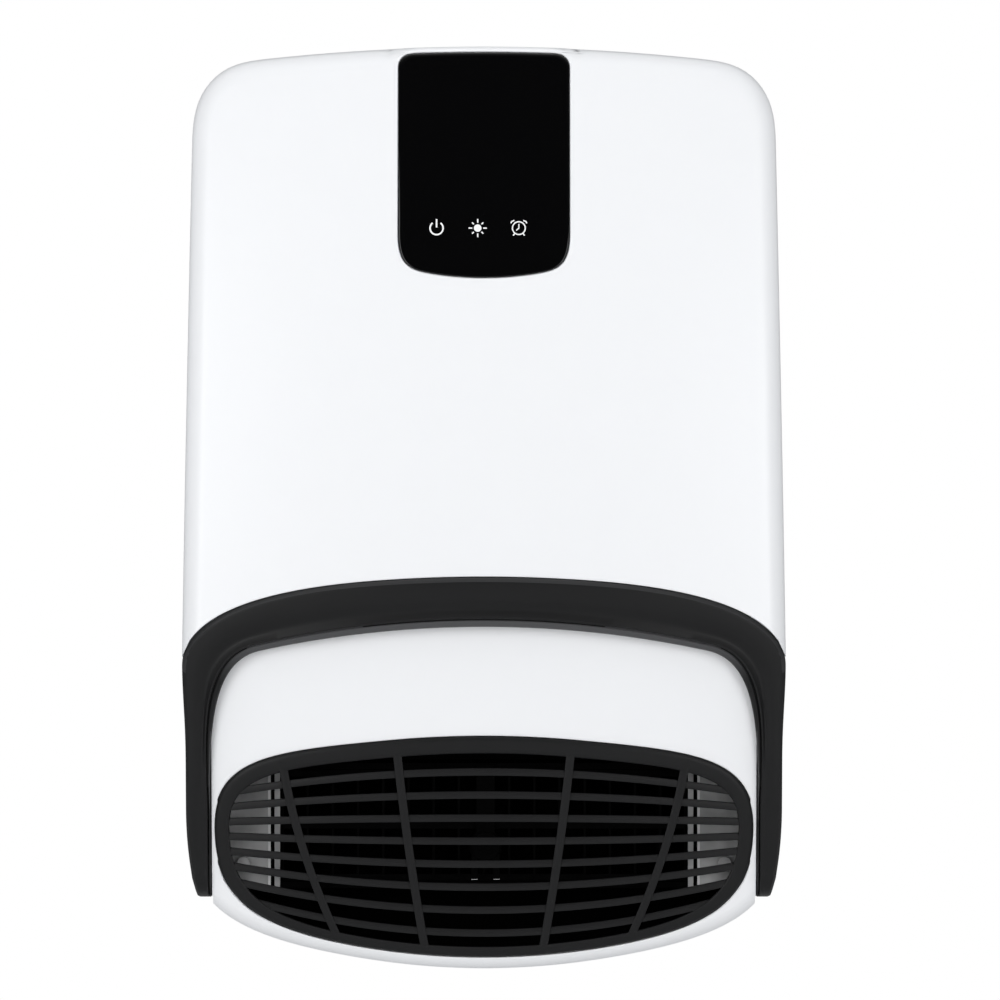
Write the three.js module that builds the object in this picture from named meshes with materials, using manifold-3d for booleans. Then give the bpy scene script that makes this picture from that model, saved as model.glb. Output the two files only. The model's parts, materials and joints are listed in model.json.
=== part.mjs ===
// Bathroom wall fan heater with a fold-out towel rail, in millimetres, +Z up.
// The wall is the plane y = 0, the front faces -Y, and the origin is the middle of the wall
// bracket's back face. "Depth" is a distance from the wall, so y = -depth.
import * as THREE from 'three';
import { mergeVertices } from 'three/addons/utils/BufferGeometryUtils.js';
import Module from 'manifold-3d';

const wasm = await Module();
wasm.setup();

// ---------------------------------------------------------------- driving dimensions
// An edge is a shallow arc over the centre line that runs through a fuller corner into a side.
const BODY_TOP = {
  crownZ: 160.3, radius: 958, breakX: 107.4, sideX: 132.6, sideZ: 122.5, full: [0.61, 0.58],
};
const BODY_BOTTOM = {
  crownZ: -258.5, radius: 336, breakX: 48.7, sideX: 135.2, sideZ: -189.7, full: [0.9, 0.68],
};
const HIP_HALF_WIDTH = 136.7; // widest place, at the shoulders of the rail
const HIP_Z = -123;
const RAIL_TOP = {
  crownZ: -80.3, radius: 653, breakX: 50.5, sideX: HIP_HALF_WIDTH + 0.9, sideZ: HIP_Z - 1,
  full: [0.65, 0.69],
};
const RAIL_INNER = {
  crownZ: -102.7, radius: 474, breakX: 100.9, sideX: 124.1, sideZ: -174.6, full: [0.8, 0.64],
};
const GRILLE_TOP = {
  crownZ: -152.4, radius: 457, breakX: 42.8, sideX: 122.4, sideZ: -194, full: [0.68, 0.98],
};
const GRILLE_BOTTOM = {
  crownZ: -253, radius: 334, breakX: 58.9, sideX: 122.4, sideZ: -194, full: [0.76, 0.72],
};
const PANEL_TOP = {
  crownZ: 157.6, radius: 958, breakX: 32, sideX: 38.75, sideZ: 150.6, full: [0.6, 0.6],
};
const PANEL_BOTTOM = {
  crownZ: 54.9, radius: 145, breakX: 21.8, sideX: 38.75, sideZ: 74.9, full: [0.65, 0.96],
};

const COVER_DEPTH_TOP = 88; // front skin from the wall at the top edge, before the edge rounding
const COVER_DEPTH_ARCH = 126; // and where the rail begins, the deepest place
const SKIN_CURVE = 1.7; // how late the skin falls away from its deepest place
const FRONT_CROWN = 14; // how far the skin falls back from the centre line to the sides
const COVER_EDGE = 9; // rounding where the front turns into the sides
const HOUSING_EDGE = 6;
const HOUSING_DEPTH_BOTTOM = 80;
const COVER_WALL = 3;
const HOUSING_WALL = 2.6;
const CASING_WALL = 2.5;
const SHELL_BACK = 50; // back edge of the cover and the outlet housing
const CASING_FRONT = 55; // front edge of the rear casing, lapped inside them
const WALL_GAP = 0.5; // the casing's rim stands just clear of the wall
const LAP_GAP = 0.4; // sliding clearance between lapped shells
const SEAT = 0.3; // clearance between pieces that rest on each other
const TONGUE = 9; // how far the outlet housing reaches up behind the cover
const LINE_GAP = 0.6; // shadow line round the rail and the grille

const RAIL_THICKNESS = 12; // front to back at the arch
const ARM_THICKNESS = 24; // front to back at the pivots
const ARM_PROUD = 4; // how far the arms stand in front of the outlet housing
const PIVOT_Z = -214;
const PIVOT_RADIUS = 2.5;
const PIVOT_GRIP = 5; // how deep the pin sits in the arm
const RAIL_BACK_GAP = 1.6;
const BOSS_LENGTH = 4; // inside the housing, round each pivot pin
const WASHER_THICKNESS = 1.2;

const GRILLE_PROUD = 1;
const GRILLE_DEPTH = 6;
const RIM_SIDE = 6.8;
const RIM_TOP = 7.7;
const RIM_BOTTOM = 4.6;
const SLAT_COUNT = 8;
const SLAT_HEIGHT = 3.4;
const SLAT_SET_BACK = 0.8;
const BAR_WIDTH = 3.9;
const FLANGE_REACH = 2.4;
const FLANGE_HALF_LENGTH = 70;

const PANEL_THICKNESS = 1.6;
const PANEL_PROUD = 0.3;
const PANEL_LEDGE = 4;
const KEY_Z = 78.2;
const KEY_X = { power: -21.4, heat: -2.8, timer: 15.8 };
const TOUCH_SPRING_LENGTH = 9;
const CARRIER_HALF_WIDTH = 35;
const BOARD_THICKNESS = 1.6;

const BACK_WALL_DEPTH = 6; // recess for the wall bracket
const INSIDE_DEPTH = BACK_WALL_DEPTH + CASING_WALL;
const BRACKET_THICKNESS = 2;
const BRACKET_WIDTH = 150;
const BRACKET_HEIGHT = 170;
const BRACKET_HOLE_RADIUS = 2.75;
const HOOK_WIDTH = 18;
const HOOK_X = 45;
const HOOK_Z = 62;
const HOOK_RISE = 9;

const ROTOR_RADIUS = 25;
const ROTOR_Z = -125;
const ROTOR_DEPTH = 43;
const ROTOR_LEFT = -94;
const ROTOR_RIGHT = 76;
const BLADE_COUNT = 13;
const SHAFT_RADIUS = 2.5;
const FAN_GAP = 2.6; // running gap between the rotor and the scroll
const SHEET = 1.6; // scroll, tongue and end plates
const MOTOR_RADIUS = 22;
const MOTOR_LENGTH = 28;

const PTC_HALF = 95.5;
const PTC_TOP = -165;
const PTC_BOTTOM = -222;
const PTC_DEPTH = 16;
const PTC_CLEARANCE = 1.6; // behind the grille, at the ears' outer ends
const FIN_PITCH = 11.3;
const PLATE_WIDTH = 19;
const PLATE_SHEET = 1.2;

const SCREW_RADIUS = 1.6;
const UPPER_SCREW = { x: 112, z: 118 };
const LOWER_SCREW = { x: 110, z: -156 };
const POST_RADIUS = 4;
const SWITCH_Z = -70;
const SWITCH_DEPTH = 30;
const ROCKER_THROW = 20; // degrees from off to on

// ---------------------------------------------------------------- colours and finishes
const finish = (color, roughness, metalness = 0) =>
  new THREE.MeshStandardMaterial({ color, roughness, metalness });
const WHITE = finish(0xf4f4f6, 0.35);
const DARK = finish(0x2c2c2e, 0.55);
const GLASS_BLACK = finish(0x050506, 0.05);
const BLACK = finish(0x161617, 0.6);
const STEEL = finish(0x9a9c9e, 0.35, 0.9);
const ALUMINIUM = finish(0xb4b6b8, 0.4, 0.9);
const BOARD_GREEN = finish(0x1c5a33, 0.5);
const RUBBER = finish(0x202020, 0.9);
const CREAM = finish(0xd9d5c8, 0.5);

// ---------------------------------------------------------------- solids
/** Turns a closed geometry into a manifold solid, leaving out triangles of no area. */
function solid(geometry) {
  const loose = geometry.index ? geometry.toNonIndexed() : geometry;
  const bare = new THREE.BufferGeometry();
  bare.setAttribute('position', loose.getAttribute('position'));
  const merged = mergeVertices(bare, 1e-4);
  const index = merged.index.array;
  const place = merged.getAttribute('position').array;
  const kept = [];
  for (let i = 0; i < index.length; i += 3) {
    const [a, b, c] = [index[i], index[i + 1], index[i + 2]];
    if (a !== b && b !== c && c !== a) kept.push(a, b, c);
  }
  if (signedVolume(place, kept) < 0) kept.reverse();
  return new wasm.Manifold(new wasm.Mesh({
    numProp: 3,
    vertProperties: new Float32Array(place),
    triVerts: new Uint32Array(kept),
  }));
}

function signedVolume(place, index) {
  const [a, b, c] = [new THREE.Vector3(), new THREE.Vector3(), new THREE.Vector3()];
  let sum = 0;
  for (let i = 0; i < index.length; i += 3) {
    a.fromArray(place, 3 * index[i]);
    b.fromArray(place, 3 * index[i + 1]);
    c.fromArray(place, 3 * index[i + 2]);
    sum += a.dot(b.cross(c));
  }
  return sum / 6;
}

const join = (first, ...rest) => rest.reduce((sum, next) => sum.add(next), first);
const cut = (first, ...rest) => rest.reduce((left, next) => left.subtract(next), first);
const common = (first, ...rest) => rest.reduce((left, next) => left.intersect(next), first);

/** A block between two corners, given as [x, depth, z]. */
function block([x0, d0, z0], [x1, d1, z1]) {
  const box = new THREE.BoxGeometry(Math.abs(x1 - x0), Math.abs(d1 - d0), Math.abs(z1 - z0));
  return solid(box.translate((x0 + x1) / 2, -(d0 + d1) / 2, (z0 + z1) / 2));
}

/** A prism whose outline is given in front view as [x, z], from one depth to another. */
function frontPrism(outline, fromDepth, toDepth) {
  const shape = new THREE.Shape(outline.map(([x, z]) => new THREE.Vector2(x, z)));
  const prism = new THREE.ExtrudeGeometry(shape, { depth: toDepth - fromDepth, bevelEnabled: false });
  return solid(prism.translate(0, 0, fromDepth).rotateX(Math.PI / 2));
}

/** A prism whose outline is given in side view as [depth, z], from one x to another. */
function sidePrism(outline, fromX, toX) {
  const shape = new THREE.Shape(outline.map(([depth, z]) => new THREE.Vector2(-depth, z)));
  const prism = new THREE.ExtrudeGeometry(shape, { depth: toX - fromX, bevelEnabled: false });
  const [alongX, alongY, alongZ] = [0, 1, 2].map((k) => new THREE.Vector3().setComponent(k, 1));
  prism.translate(0, 0, fromX);
  return solid(prism.applyMatrix4(new THREE.Matrix4().makeBasis(alongY, alongZ, alongX)));
}

/** A round bar along X. */
function barX(radius, fromX, toX, depth, z, sides = 12) {
  const bar = new THREE.CylinderGeometry(radius, radius, toX - fromX, sides).rotateZ(-Math.PI / 2);
  return solid(bar.translate((fromX + toX) / 2, -depth, z));
}

/** A round bar along Y, from one depth to another. */
function barY(radius, fromDepth, toDepth, x, z, sides = 10) {
  const bar = new THREE.CylinderGeometry(radius, radius, toDepth - fromDepth, sides);
  return solid(bar.translate(x, -(fromDepth + toDepth) / 2, z));
}

const mirrored = (one) => one.mirror([1, 0, 0]);
const bothSides = (one) => join(one, mirrored(one));

/** Joins rings of points, one after the other. The first and last ring have closed up on themselves. */
function loft(rings) {
  const positions = [];
  const count = rings[0].length;
  for (let r = 0; r + 1 < rings.length; r += 1) {
    for (let i = 0; i < count; i += 1) {
      const j = (i + 1) % count;
      const corners = [rings[r][i], rings[r][j], rings[r + 1][j], rings[r + 1][i]];
      for (const k of [0, 1, 2, 0, 2, 3]) positions.push(...corners[k]);
    }
  }
  const geometry = new THREE.BufferGeometry();
  geometry.setAttribute('position', new THREE.Float32BufferAttribute(positions, 3));
  return solid(geometry);
}

// ---------------------------------------------------------------- outlines in front view
/** Points of half an edge, from the centre line to its side. */
function halfEdge(edge, arcSteps, cornerSteps) {
  const way = Math.sign(edge.sideZ - edge.crownZ);
  const turn = Math.asin(edge.breakX / edge.radius);
  const points = [];
  for (let i = 0; i < arcSteps; i += 1) {
    const angle = turn * i / arcSteps;
    const sag = edge.radius * (1 - Math.cos(angle));
    points.push([edge.radius * Math.sin(angle), edge.crownZ + way * sag]);
  }
  const start = [edge.breakX, edge.crownZ + way * edge.radius * (1 - Math.cos(turn))];
  const corner = [edge.sideX, start[1] + way * (edge.sideX - edge.breakX) * Math.tan(turn)];
  const end = [edge.sideX, edge.sideZ];
  const [fullCrown, fullSide] = edge.full;
  const curve = new THREE.CubicBezierCurve(
    new THREE.Vector2(...start),
    new THREE.Vector2(...between(start, corner, fullCrown)),
    new THREE.Vector2(...between(end, corner, fullSide)),
    new THREE.Vector2(...end),
  );
  return points.concat(curve.getPoints(cornerSteps).map((p) => [p.x, p.y]));
}

function between(a, b, share) {
  return a.map((value, k) => value + (b[k] - value) * share);
}

/** Points strictly between two points. */
function steps(a, b, count) {
  return Array.from({ length: count - 1 }, (_, i) => between(a, b, (i + 1) / count));
}

/** A closed outline from its right half, which runs from the top centre to the bottom centre. */
function closeOutline(rightHalf) {
  const left = rightHalf.slice(1, -1).reverse().map(([x, z]) => [-x, z]);
  return rightHalf.concat(left);
}

/** An outline that is an upper edge and a lower edge, with straight sides between them. */
function edgedOutline(upper, lower, arcSteps, cornerSteps) {
  const top = halfEdge(upper, arcSteps, cornerSteps);
  const bottom = halfEdge(lower, arcSteps, cornerSteps).reverse();
  const meet = upper.sideZ === lower.sideZ ? bottom.slice(1) : bottom;
  return closeOutline(top.concat(meet));
}

/** The same outline, moved inwards. A negative distance moves it outwards. */
function inset(outline, distance) {
  return outline.map((point, i) => {
    const before = outline[(i + outline.length - 1) % outline.length];
    const after = outline[(i + 1) % outline.length];
    const a = new THREE.Vector2(point[0] - before[0], point[1] - before[1]).normalize();
    const b = new THREE.Vector2(after[0] - point[0], after[1] - point[1]).normalize();
    const inward = new THREE.Vector2(a.y + b.y, -a.x - b.x).normalize();
    const reach = distance / Math.max(0.5, inward.dot(new THREE.Vector2(a.y, -a.x)));
    return [point[0] + inward.x * reach, point[1] + inward.y * reach];
  });
}

function bodyHalf() {
  const top = halfEdge(BODY_TOP, 4, 5);
  const shoulder = [BODY_TOP.sideX, BODY_TOP.sideZ];
  const hip = [HIP_HALF_WIDTH, HIP_Z];
  const belowHip = [BODY_BOTTOM.sideX, 1.25 * HIP_Z];
  const bottom = halfEdge(BODY_BOTTOM, 3, 7).reverse();
  return [...top, ...steps(shoulder, hip, 5), hip, belowHip, ...bottom];
}

const BODY_HALF = bodyHalf();
const BODY = closeOutline(BODY_HALF);
const GRILLE = edgedOutline(GRILLE_TOP, GRILLE_BOTTOM, 3, 6);
const PANEL = edgedOutline(PANEL_TOP, PANEL_BOTTOM, 2, 4);

/** Half width of the body's side at one height. */
function sideAt(z) {
  const side = BODY_HALF.filter(([x]) => x > BODY_BOTTOM.breakX);
  const k = side.findIndex((point) => point[1] < z);
  const [above, below] = [side[k - 1], side[k]];
  return above[0] + (below[0] - above[0]) * (above[1] - z) / (above[1] - below[1]);
}

/** Right half of the line where the rail's arch begins. */
const ARCH = halfEdge(RAIL_TOP, 4, 9);

/** Everything above the arch's line, moved up or down by a gap. */
function aboveArch(gap) {
  const right = ARCH.map(([x, z]) => [x, z + gap]);
  const far = 2 * RAIL_TOP.sideX;
  const left = right.slice(1).reverse().map(([x, z]) => [-x, z]);
  const end = RAIL_TOP.sideZ + gap;
  const roof = BODY_TOP.crownZ + 50;
  return frontPrism([...left, ...right, [far, end], [far, roof], [-far, roof], [-far, end]], -10, 200);
}

// ---------------------------------------------------------------- the moulded front
const crown = (x) => FRONT_CROWN * (x / HIP_HALF_WIDTH) ** 2;

function coverDepth(z) {
  const rise = Math.max(0, z - RAIL_TOP.crownZ) / (BODY_TOP.crownZ - RAIL_TOP.crownZ);
  return COVER_DEPTH_ARCH - (COVER_DEPTH_ARCH - COVER_DEPTH_TOP) * rise ** SKIN_CURVE;
}

function housingDepth(z) {
  const top = COVER_DEPTH_ARCH - RAIL_THICKNESS - RAIL_BACK_GAP;
  const fall = Math.max(0, RAIL_TOP.crownZ - z) / (RAIL_TOP.crownZ - BODY_BOTTOM.crownZ);
  return top - (top - HOUSING_DEPTH_BOTTOM) * fall ** SKIN_CURVE;
}

/** 0 where the rail begins and 1 at its pivots. */
function alongRail(z) {
  return THREE.MathUtils.clamp((RAIL_TOP.crownZ - z) / (RAIL_TOP.crownZ - PIVOT_Z), 0, 1);
}

function railDepth(z) {
  const proud = ARM_PROUD + (RAIL_THICKNESS + RAIL_BACK_GAP - ARM_PROUD) * (1 - alongRail(z)) ** 2;
  return housingDepth(z) + proud;
}

/** Front to back over the pockets: flush with the arch's back at the shoulders, full at the pivots. */
function railThickness(z) {
  const overHousing = railDepth(z) - housingDepth(z) - RAIL_BACK_GAP;
  const share = THREE.MathUtils.smoothstep(alongRail(z), 0.2, 1);
  return overHousing + (ARM_THICKNESS - overHousing) * share;
}

const ARM_INNER_X = RAIL_INNER.sideX;
const ARM_X = (ARM_INNER_X + BODY_BOTTOM.sideX) / 2;
const RAIL_STATIONS = 20;

/** The arch follows the crown, and the arms turn flat towards their pivots. */
function railCrown(x, z) {
  const flat = THREE.MathUtils.smoothstep(alongRail(z), 0.5, 0.9);
  return crown(x) + (crown(ARM_X) - crown(x)) * flat;
}

const PIVOT_DEPTH = railDepth(PIVOT_Z) - crown(ARM_X) - ARM_THICKNESS / 2;

// The heating element stands behind the grille, which is nearest at the ears' outer lower corners.
const BEHIND_GRILLE = housingDepth(PTC_BOTTOM) - crown(PTC_HALF + PLATE_WIDTH) + GRILLE_PROUD - GRILLE_DEPTH;
const PTC_FRONT = BEHIND_GRILLE - PTC_CLEARANCE;
const PTC_BACK = PTC_FRONT - PTC_DEPTH;

/** The crowned skin over the body's outline as a full solid, or the same set in by a wall. */
function dome(depthAt, edge, back, wall, lift = 0, bands = 4) {
  const radius = Math.max(1, edge - wall);
  const spine = [0.62 * BODY_BOTTOM.crownZ, 0.4 * BODY_TOP.crownZ];
  const skin = (x, z) => depthAt(z) + lift - crown(x) - wall;
  const at = (outline, fall) => outline.map(([x, z]) => [x, fall - skin(x, z), z]);
  const shrunk = (share) => {
    const rim = inset(BODY, wall + radius);
    return rim.map(([x, z]) => [x * (1 - share), z + (THREE.MathUtils.clamp(z, ...spine) - z) * share]);
  };
  const turned = [0, 45].map((degrees) => {
    const angle = degrees * Math.PI / 180;
    return at(inset(BODY, wall + radius * (1 - Math.cos(angle))), radius * (1 - Math.sin(angle)));
  });
  const backRing = inset(BODY, wall).map(([x, z]) => [x, -back, z]);
  const backSpine = shrunk(1).map(([x, z]) => [x, -back, z]);
  const front = Array.from({ length: bands + 1 }, (_, i) => at(shrunk(i / bands), 0));
  return loft([backSpine, backRing, ...turned, ...front]);
}

/** A curved sheet that follows a skin over a rectangle of the front view. */
function sheetAlong(depthAt, thickness, [x0, x1], [z0, z1], columns, rows) {
  const loop = (z, share) => {
    const row = Array.from({ length: columns + 1 }, (_, i) => x0 + (x1 - x0) * i / columns);
    const middle = (x) => depthAt(z) - crown(x) - thickness / 2;
    const front = row.map((x) => [x, -middle(x) - share * thickness / 2, z]);
    return front.concat(row.reverse().map((x) => [x, -middle(x) + share * thickness / 2, z]));
  };
  const rings = Array.from({ length: rows + 1 }, (_, i) => loop(z0 + (z1 - z0) * i / rows, 1));
  return loft([loop(z0, 0), ...rings, loop(z1, 0)]);
}

// ---------------------------------------------------------------- front cover and touch panel
const FRONT_ROOM = [CASING_FRONT, COVER_DEPTH_ARCH + 30]; // depths that a cut from the front runs through

/** What lies in front of the cover's skin, set in by some depth, over a front-view outline. */
function inFront(outline, setIn) {
  return cut(frontPrism(outline, ...FRONT_ROOM), dome(coverDepth, COVER_EDGE, SHELL_BACK, 0, -setIn));
}

function frontCover() {
  const shell = cut(
    dome(coverDepth, COVER_EDGE, SHELL_BACK, 0),
    dome(coverDepth, COVER_EDGE, SHELL_BACK - 1, COVER_WALL, 0, 3),
  );
  const recess = inFront(inset(PANEL, -SEAT), PANEL_THICKNESS - PANEL_PROUD + SEAT);
  const window = frontPrism(inset(PANEL, PANEL_LEDGE), ...FRONT_ROOM);
  const inside = dome(coverDepth, COVER_EDGE, SHELL_BACK, COVER_WALL / 2);
  const post = barY(POST_RADIUS, INSIDE_DEPTH + SEAT, 120, UPPER_SCREW.x, UPPER_SCREW.z);
  const postStub = common(post, join(inside, frontPrism(inset(BODY, COVER_EDGE), 0, SHELL_BACK + 1)));
  const bore = barY(SCREW_RADIUS + SEAT, 0, INSIDE_DEPTH + 20, UPPER_SCREW.x, UPPER_SCREW.z);
  const rib = block(
    [CARRIER_HALF_WIDTH + SEAT, coverDepth(KEY_Z) - 33, KEY_Z - 12],
    [CARRIER_HALF_WIDTH + 2.5, COVER_DEPTH_ARCH, KEY_Z + 44],
  );
  const above = common(cut(shell, window), aboveArch(LINE_GAP / 2));
  const ribs = bothSides(common(rib, inside));
  return cut(join(above, archShelf(), bothSides(postStub), ribs), recess, bothSides(bore));
}

/** The wall that runs back from the cover's lower edge to the housing, over the rail's arch. */
function archShelf() {
  const band = cut(aboveArch(LINE_GAP / 2), aboveArch(LINE_GAP / 2 + COVER_WALL));
  const overHousing = dome(housingDepth, HOUSING_EDGE, SHELL_BACK - 1, 0, LAP_GAP);
  return cut(common(dome(coverDepth, COVER_EDGE, SHELL_BACK, 0), band), overHousing);
}

function touchPanel() {
  return common(
    frontPrism(PANEL, ...FRONT_ROOM),
    cut(
      dome(coverDepth, COVER_EDGE, SHELL_BACK, 0, PANEL_PROUD),
      dome(coverDepth, COVER_EDGE, SHELL_BACK - 1, 0, PANEL_PROUD - PANEL_THICKNESS),
    ),
  );
}

// ---------------------------------------------------------------- towel rail
/** A line of points spread evenly along another. */
function spread(points, count) {
  const path = new THREE.CurvePath();
  for (let i = 0; i + 1 < points.length; i += 1) {
    path.add(new THREE.LineCurve(new THREE.Vector2(...points[i]), new THREE.Vector2(...points[i + 1])));
  }
  return Array.from({ length: count + 1 }, (_, i) => path.getPointAt(i / count)).map((p) => [p.x, p.y]);
}

/** Rings of the rail's right half: across the band from its outer edge to the lip on its inner edge. */
function railRings() {
  const archEnd = ARCH.filter(([x, z]) => x < sideAt(z) - 0.2);
  const shoulder = archEnd.at(-1)[1];
  const flank = BODY_HALF.filter(([x, z]) => x > ARM_INNER_X && z < shoulder - 1 && z > PIVOT_Z + 1);
  const outer = spread([...archEnd, ...flank, [sideAt(PIVOT_Z), PIVOT_Z]], RAIL_STATIONS);
  const inner = spread([...halfEdge(RAIL_INNER, 4, 9), [ARM_INNER_X, PIVOT_Z]], RAIL_STATIONS);
  const rings = outer.map((edge, i) => railSection(edge, inner[i], null));
  const radius = ARM_THICKNESS / 2;
  for (const degrees of [22, 45, 63, 78]) {
    const angle = degrees * Math.PI / 180;
    const z = PIVOT_Z - radius * Math.sin(angle);
    rings.push(railSection([sideAt(z), z], [ARM_INNER_X, z], 2 * radius * Math.cos(angle)));
  }
  const tip = rings.at(-1);
  const middle = tip[0].map((_, k) => tip.reduce((sum, point) => sum + point[k], 0) / tip.length);
  rings.push(tip.map(() => middle));
  return rings;
}

/**
 * One section of the rail. Between the arms its back follows the housing's skin, and beyond the
 * arms' inner side it is deeper and fills the pocket. On the round tips the faces close in to a
 * given thickness round the pivot.
 */
function railSection(outer, inner, tipThickness) {
  const width = Math.hypot(outer[0] - inner[0], outer[1] - inner[1]);
  const slim = THREE.MathUtils.smoothstep(alongRail(outer[1]), 0.3, 0.8);
  const [chamfer, lip] = [2.3 - 1.1 * slim, 3.7 - 2.3 * slim];
  const atTip = tipThickness !== null;
  const soft = atTip ? Math.min(1, tipThickness / ARM_THICKNESS * 1.5) : 1;
  const front = (x, z) => (atTip ? PIVOT_DEPTH + tipThickness / 2 : railDepth(z) - railCrown(x, z));
  const facing = (share, setBack) => {
    const [x, z] = between(outer, inner, share);
    return [x, -(front(x, z) - setBack * soft), z];
  };
  const deep = ([x, z]) => [x, -(front(x, z) - (atTip ? tipThickness : railThickness(z))), z];
  const shallow = ([x, z]) => [x, -(housingDepth(z) - crown(x) + RAIL_BACK_GAP), z];
  const stepShare = (outer[0] - ARM_INNER_X) / (outer[0] - inner[0]);
  const step = between(outer, inner, THREE.MathUtils.clamp(stepShare, 0, 1));
  const overPocket = outer[0] > ARM_INNER_X;
  const lipEnd = facing(1, 3.4 - slim);
  const onArm = inner[0] > ARM_INNER_X - LINE_GAP / 6;
  const middle = between(lipEnd, deep(step), 0.5);
  return [
    overPocket ? deep(outer) : shallow(outer),
    facing(0, 2.2), facing(chamfer / width, 0.5), facing(0.5, -0.3),
    facing(1 - (lip + 0.3) / width, 0.4), facing(1 - lip / width, 1.9), lipEnd,
    onArm ? middle : shallow(inner), onArm ? middle : shallow(step), overPocket ? deep(step) : shallow(step),
  ];
}

function towelRail() {
  const right = railRings();
  const left = right.slice(1).reverse().map((ring) => ring.map(([x, y, z]) => [-x, y, z]));
  const [holeFrom, holeTo] = [ARM_INNER_X - 5, ARM_INNER_X + PIVOT_GRIP + SEAT];
  const pinHole = barX(PIVOT_RADIUS + SEAT, holeFrom, holeTo, PIVOT_DEPTH, PIVOT_Z);
  return cut(loft([...left, ...right]), bothSides(pinHole));
}

/** The room an arm and its round tip take, widened by a gap and open to the front. */
function armRoom(gap, fromX, toX) {
  const top = HIP_Z + 40;
  const radius = ARM_THICKNESS / 2 + gap;
  const backs = steps([0, top], [0, PIVOT_Z], 9).map(([, z]) => {
    const front = railDepth(z) - railCrown(HIP_HALF_WIDTH, z);
    return [front - railThickness(z) - gap, z];
  });
  const tip = [[PIVOT_DEPTH - radius, PIVOT_Z], [PIVOT_DEPTH, PIVOT_Z - radius]];
  const band = sidePrism([...backs, ...tip, [200, PIVOT_Z - radius], [200, top]], fromX, toX);
  return join(band, barX(radius, fromX, toX, PIVOT_DEPTH, PIVOT_Z, 24));
}

const POCKET_X = ARM_INNER_X - LINE_GAP;

// ---------------------------------------------------------------- outlet housing and grille
function outletHousing() {
  const skin = (wall, back = SHELL_BACK - 1) => dome(housingDepth, HOUSING_EDGE, back, wall, 0, 3);
  const behindCover = COVER_WALL + LAP_GAP;
  const outer = cut(dome(housingDepth, HOUSING_EDGE, SHELL_BACK, 0), aboveArch(-LINE_GAP / 2));
  const tongue = cut(skin(behindCover, CASING_FRONT + LAP_GAP), aboveArch(TONGUE));
  const inner = cut(skin(HOUSING_WALL), aboveArch(-HOUSING_WALL));
  const innerTongue = skin(behindCover + HOUSING_WALL);
  const lining = common(
    bothSides(armRoom(LINE_GAP + HOUSING_WALL, POCKET_X - HOUSING_WALL, 150)),
    outer,
  );
  const pocket = bothSides(armRoom(LINE_GAP, POCKET_X, 160));
  const boss = bothSides(barX(5.5, POCKET_X - BOSS_LENGTH, POCKET_X - 1, PIVOT_DEPTH, PIVOT_Z));
  const pinHole = bothSides(barX(PIVOT_RADIUS + SEAT, POCKET_X - 20, POCKET_X + 5, PIVOT_DEPTH, PIVOT_Z));
  const opening = common(
    frontPrism(inset(GRILLE, -LINE_GAP / 2), 50, 150),
    sheetAlong((z) => housingDepth(z) + 20, 20 + GRILLE_DEPTH + 2, ...overGrille(10), 10, 6),
  );
  const post = common(
    barY(POST_RADIUS, INSIDE_DEPTH + SEAT, 120, LOWER_SCREW.x, LOWER_SCREW.z),
    join(skin(HOUSING_WALL / 2), frontPrism(inset(BODY, HOUSING_EDGE), 0, SHELL_BACK + 1)),
  );
  const bore = barY(SCREW_RADIUS + SEAT, 0, INSIDE_DEPTH + 20, LOWER_SCREW.x, LOWER_SCREW.z);
  const lapRoom = frontPrism(inset(BODY, HOUSING_WALL), 0, CASING_FRONT + LAP_GAP);
  const shell = cut(join(outer, tongue), inner, innerTongue, lapRoom);
  return cut(join(shell, lining, boss, bothSides(post)), pocket, pinHole, opening, bothSides(bore));
}

/** The grille's width and height in front view, with a margin round them. */
function overGrille(margin) {
  const half = GRILLE_TOP.sideX + margin;
  return [[-half, half], [GRILLE_BOTTOM.crownZ - margin, GRILLE_TOP.crownZ + margin]];
}

/** The inside of the grille's rim, wider at the top than at the bottom. */
function grilleInside() {
  const sideX = GRILLE_TOP.sideX - RIM_SIDE;
  const top = { ...GRILLE_TOP, crownZ: GRILLE_TOP.crownZ - RIM_TOP, sideX };
  const bottom = { ...GRILLE_BOTTOM, crownZ: GRILLE_BOTTOM.crownZ + RIM_BOTTOM, sideX };
  return edgedOutline(top, bottom, 3, 5);
}

const BOW_SPAN = 83.7; // distance from the centre line at which a slat's bow is measured

/** Slats arch upwards at the top of the grille and sag towards its bottom. */
function slat(index) {
  const highest = GRILLE_TOP.crownZ - RIM_TOP;
  const pitch = (highest - GRILLE_BOTTOM.crownZ - RIM_BOTTOM) / (SLAT_COUNT + 0.4);
  const middle = highest - pitch * (index + 0.8);
  const bow = 5 - 2 * index;
  const half = GRILLE_TOP.sideX;
  const xs = Array.from({ length: 7 }, (_, i) => half * (i / 3 - 1));
  const line = (side) => xs.map((x) => [x, middle - bow * (x / BOW_SPAN) ** 2 + side * SLAT_HEIGHT / 2]);
  return frontPrism([...line(1), ...line(-1).reverse()], ...FRONT_ROOM);
}

/** Upright bars lean towards the centre on their way down. */
function bar(topX, lean, bend) {
  const highest = GRILLE_TOP.crownZ;
  const fall = highest - GRILLE_BOTTOM.crownZ;
  const shares = [0, 0.35, 0.7, 1];
  const middle = (t) => topX - lean * t - bend * t * t;
  const line = (side) => shares.map((t) => [middle(t) + side * BAR_WIDTH / 2, highest - fall * t]);
  return bothSides(frontPrism([...line(1), ...line(-1).reverse()], ...FRONT_ROOM));
}

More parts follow.
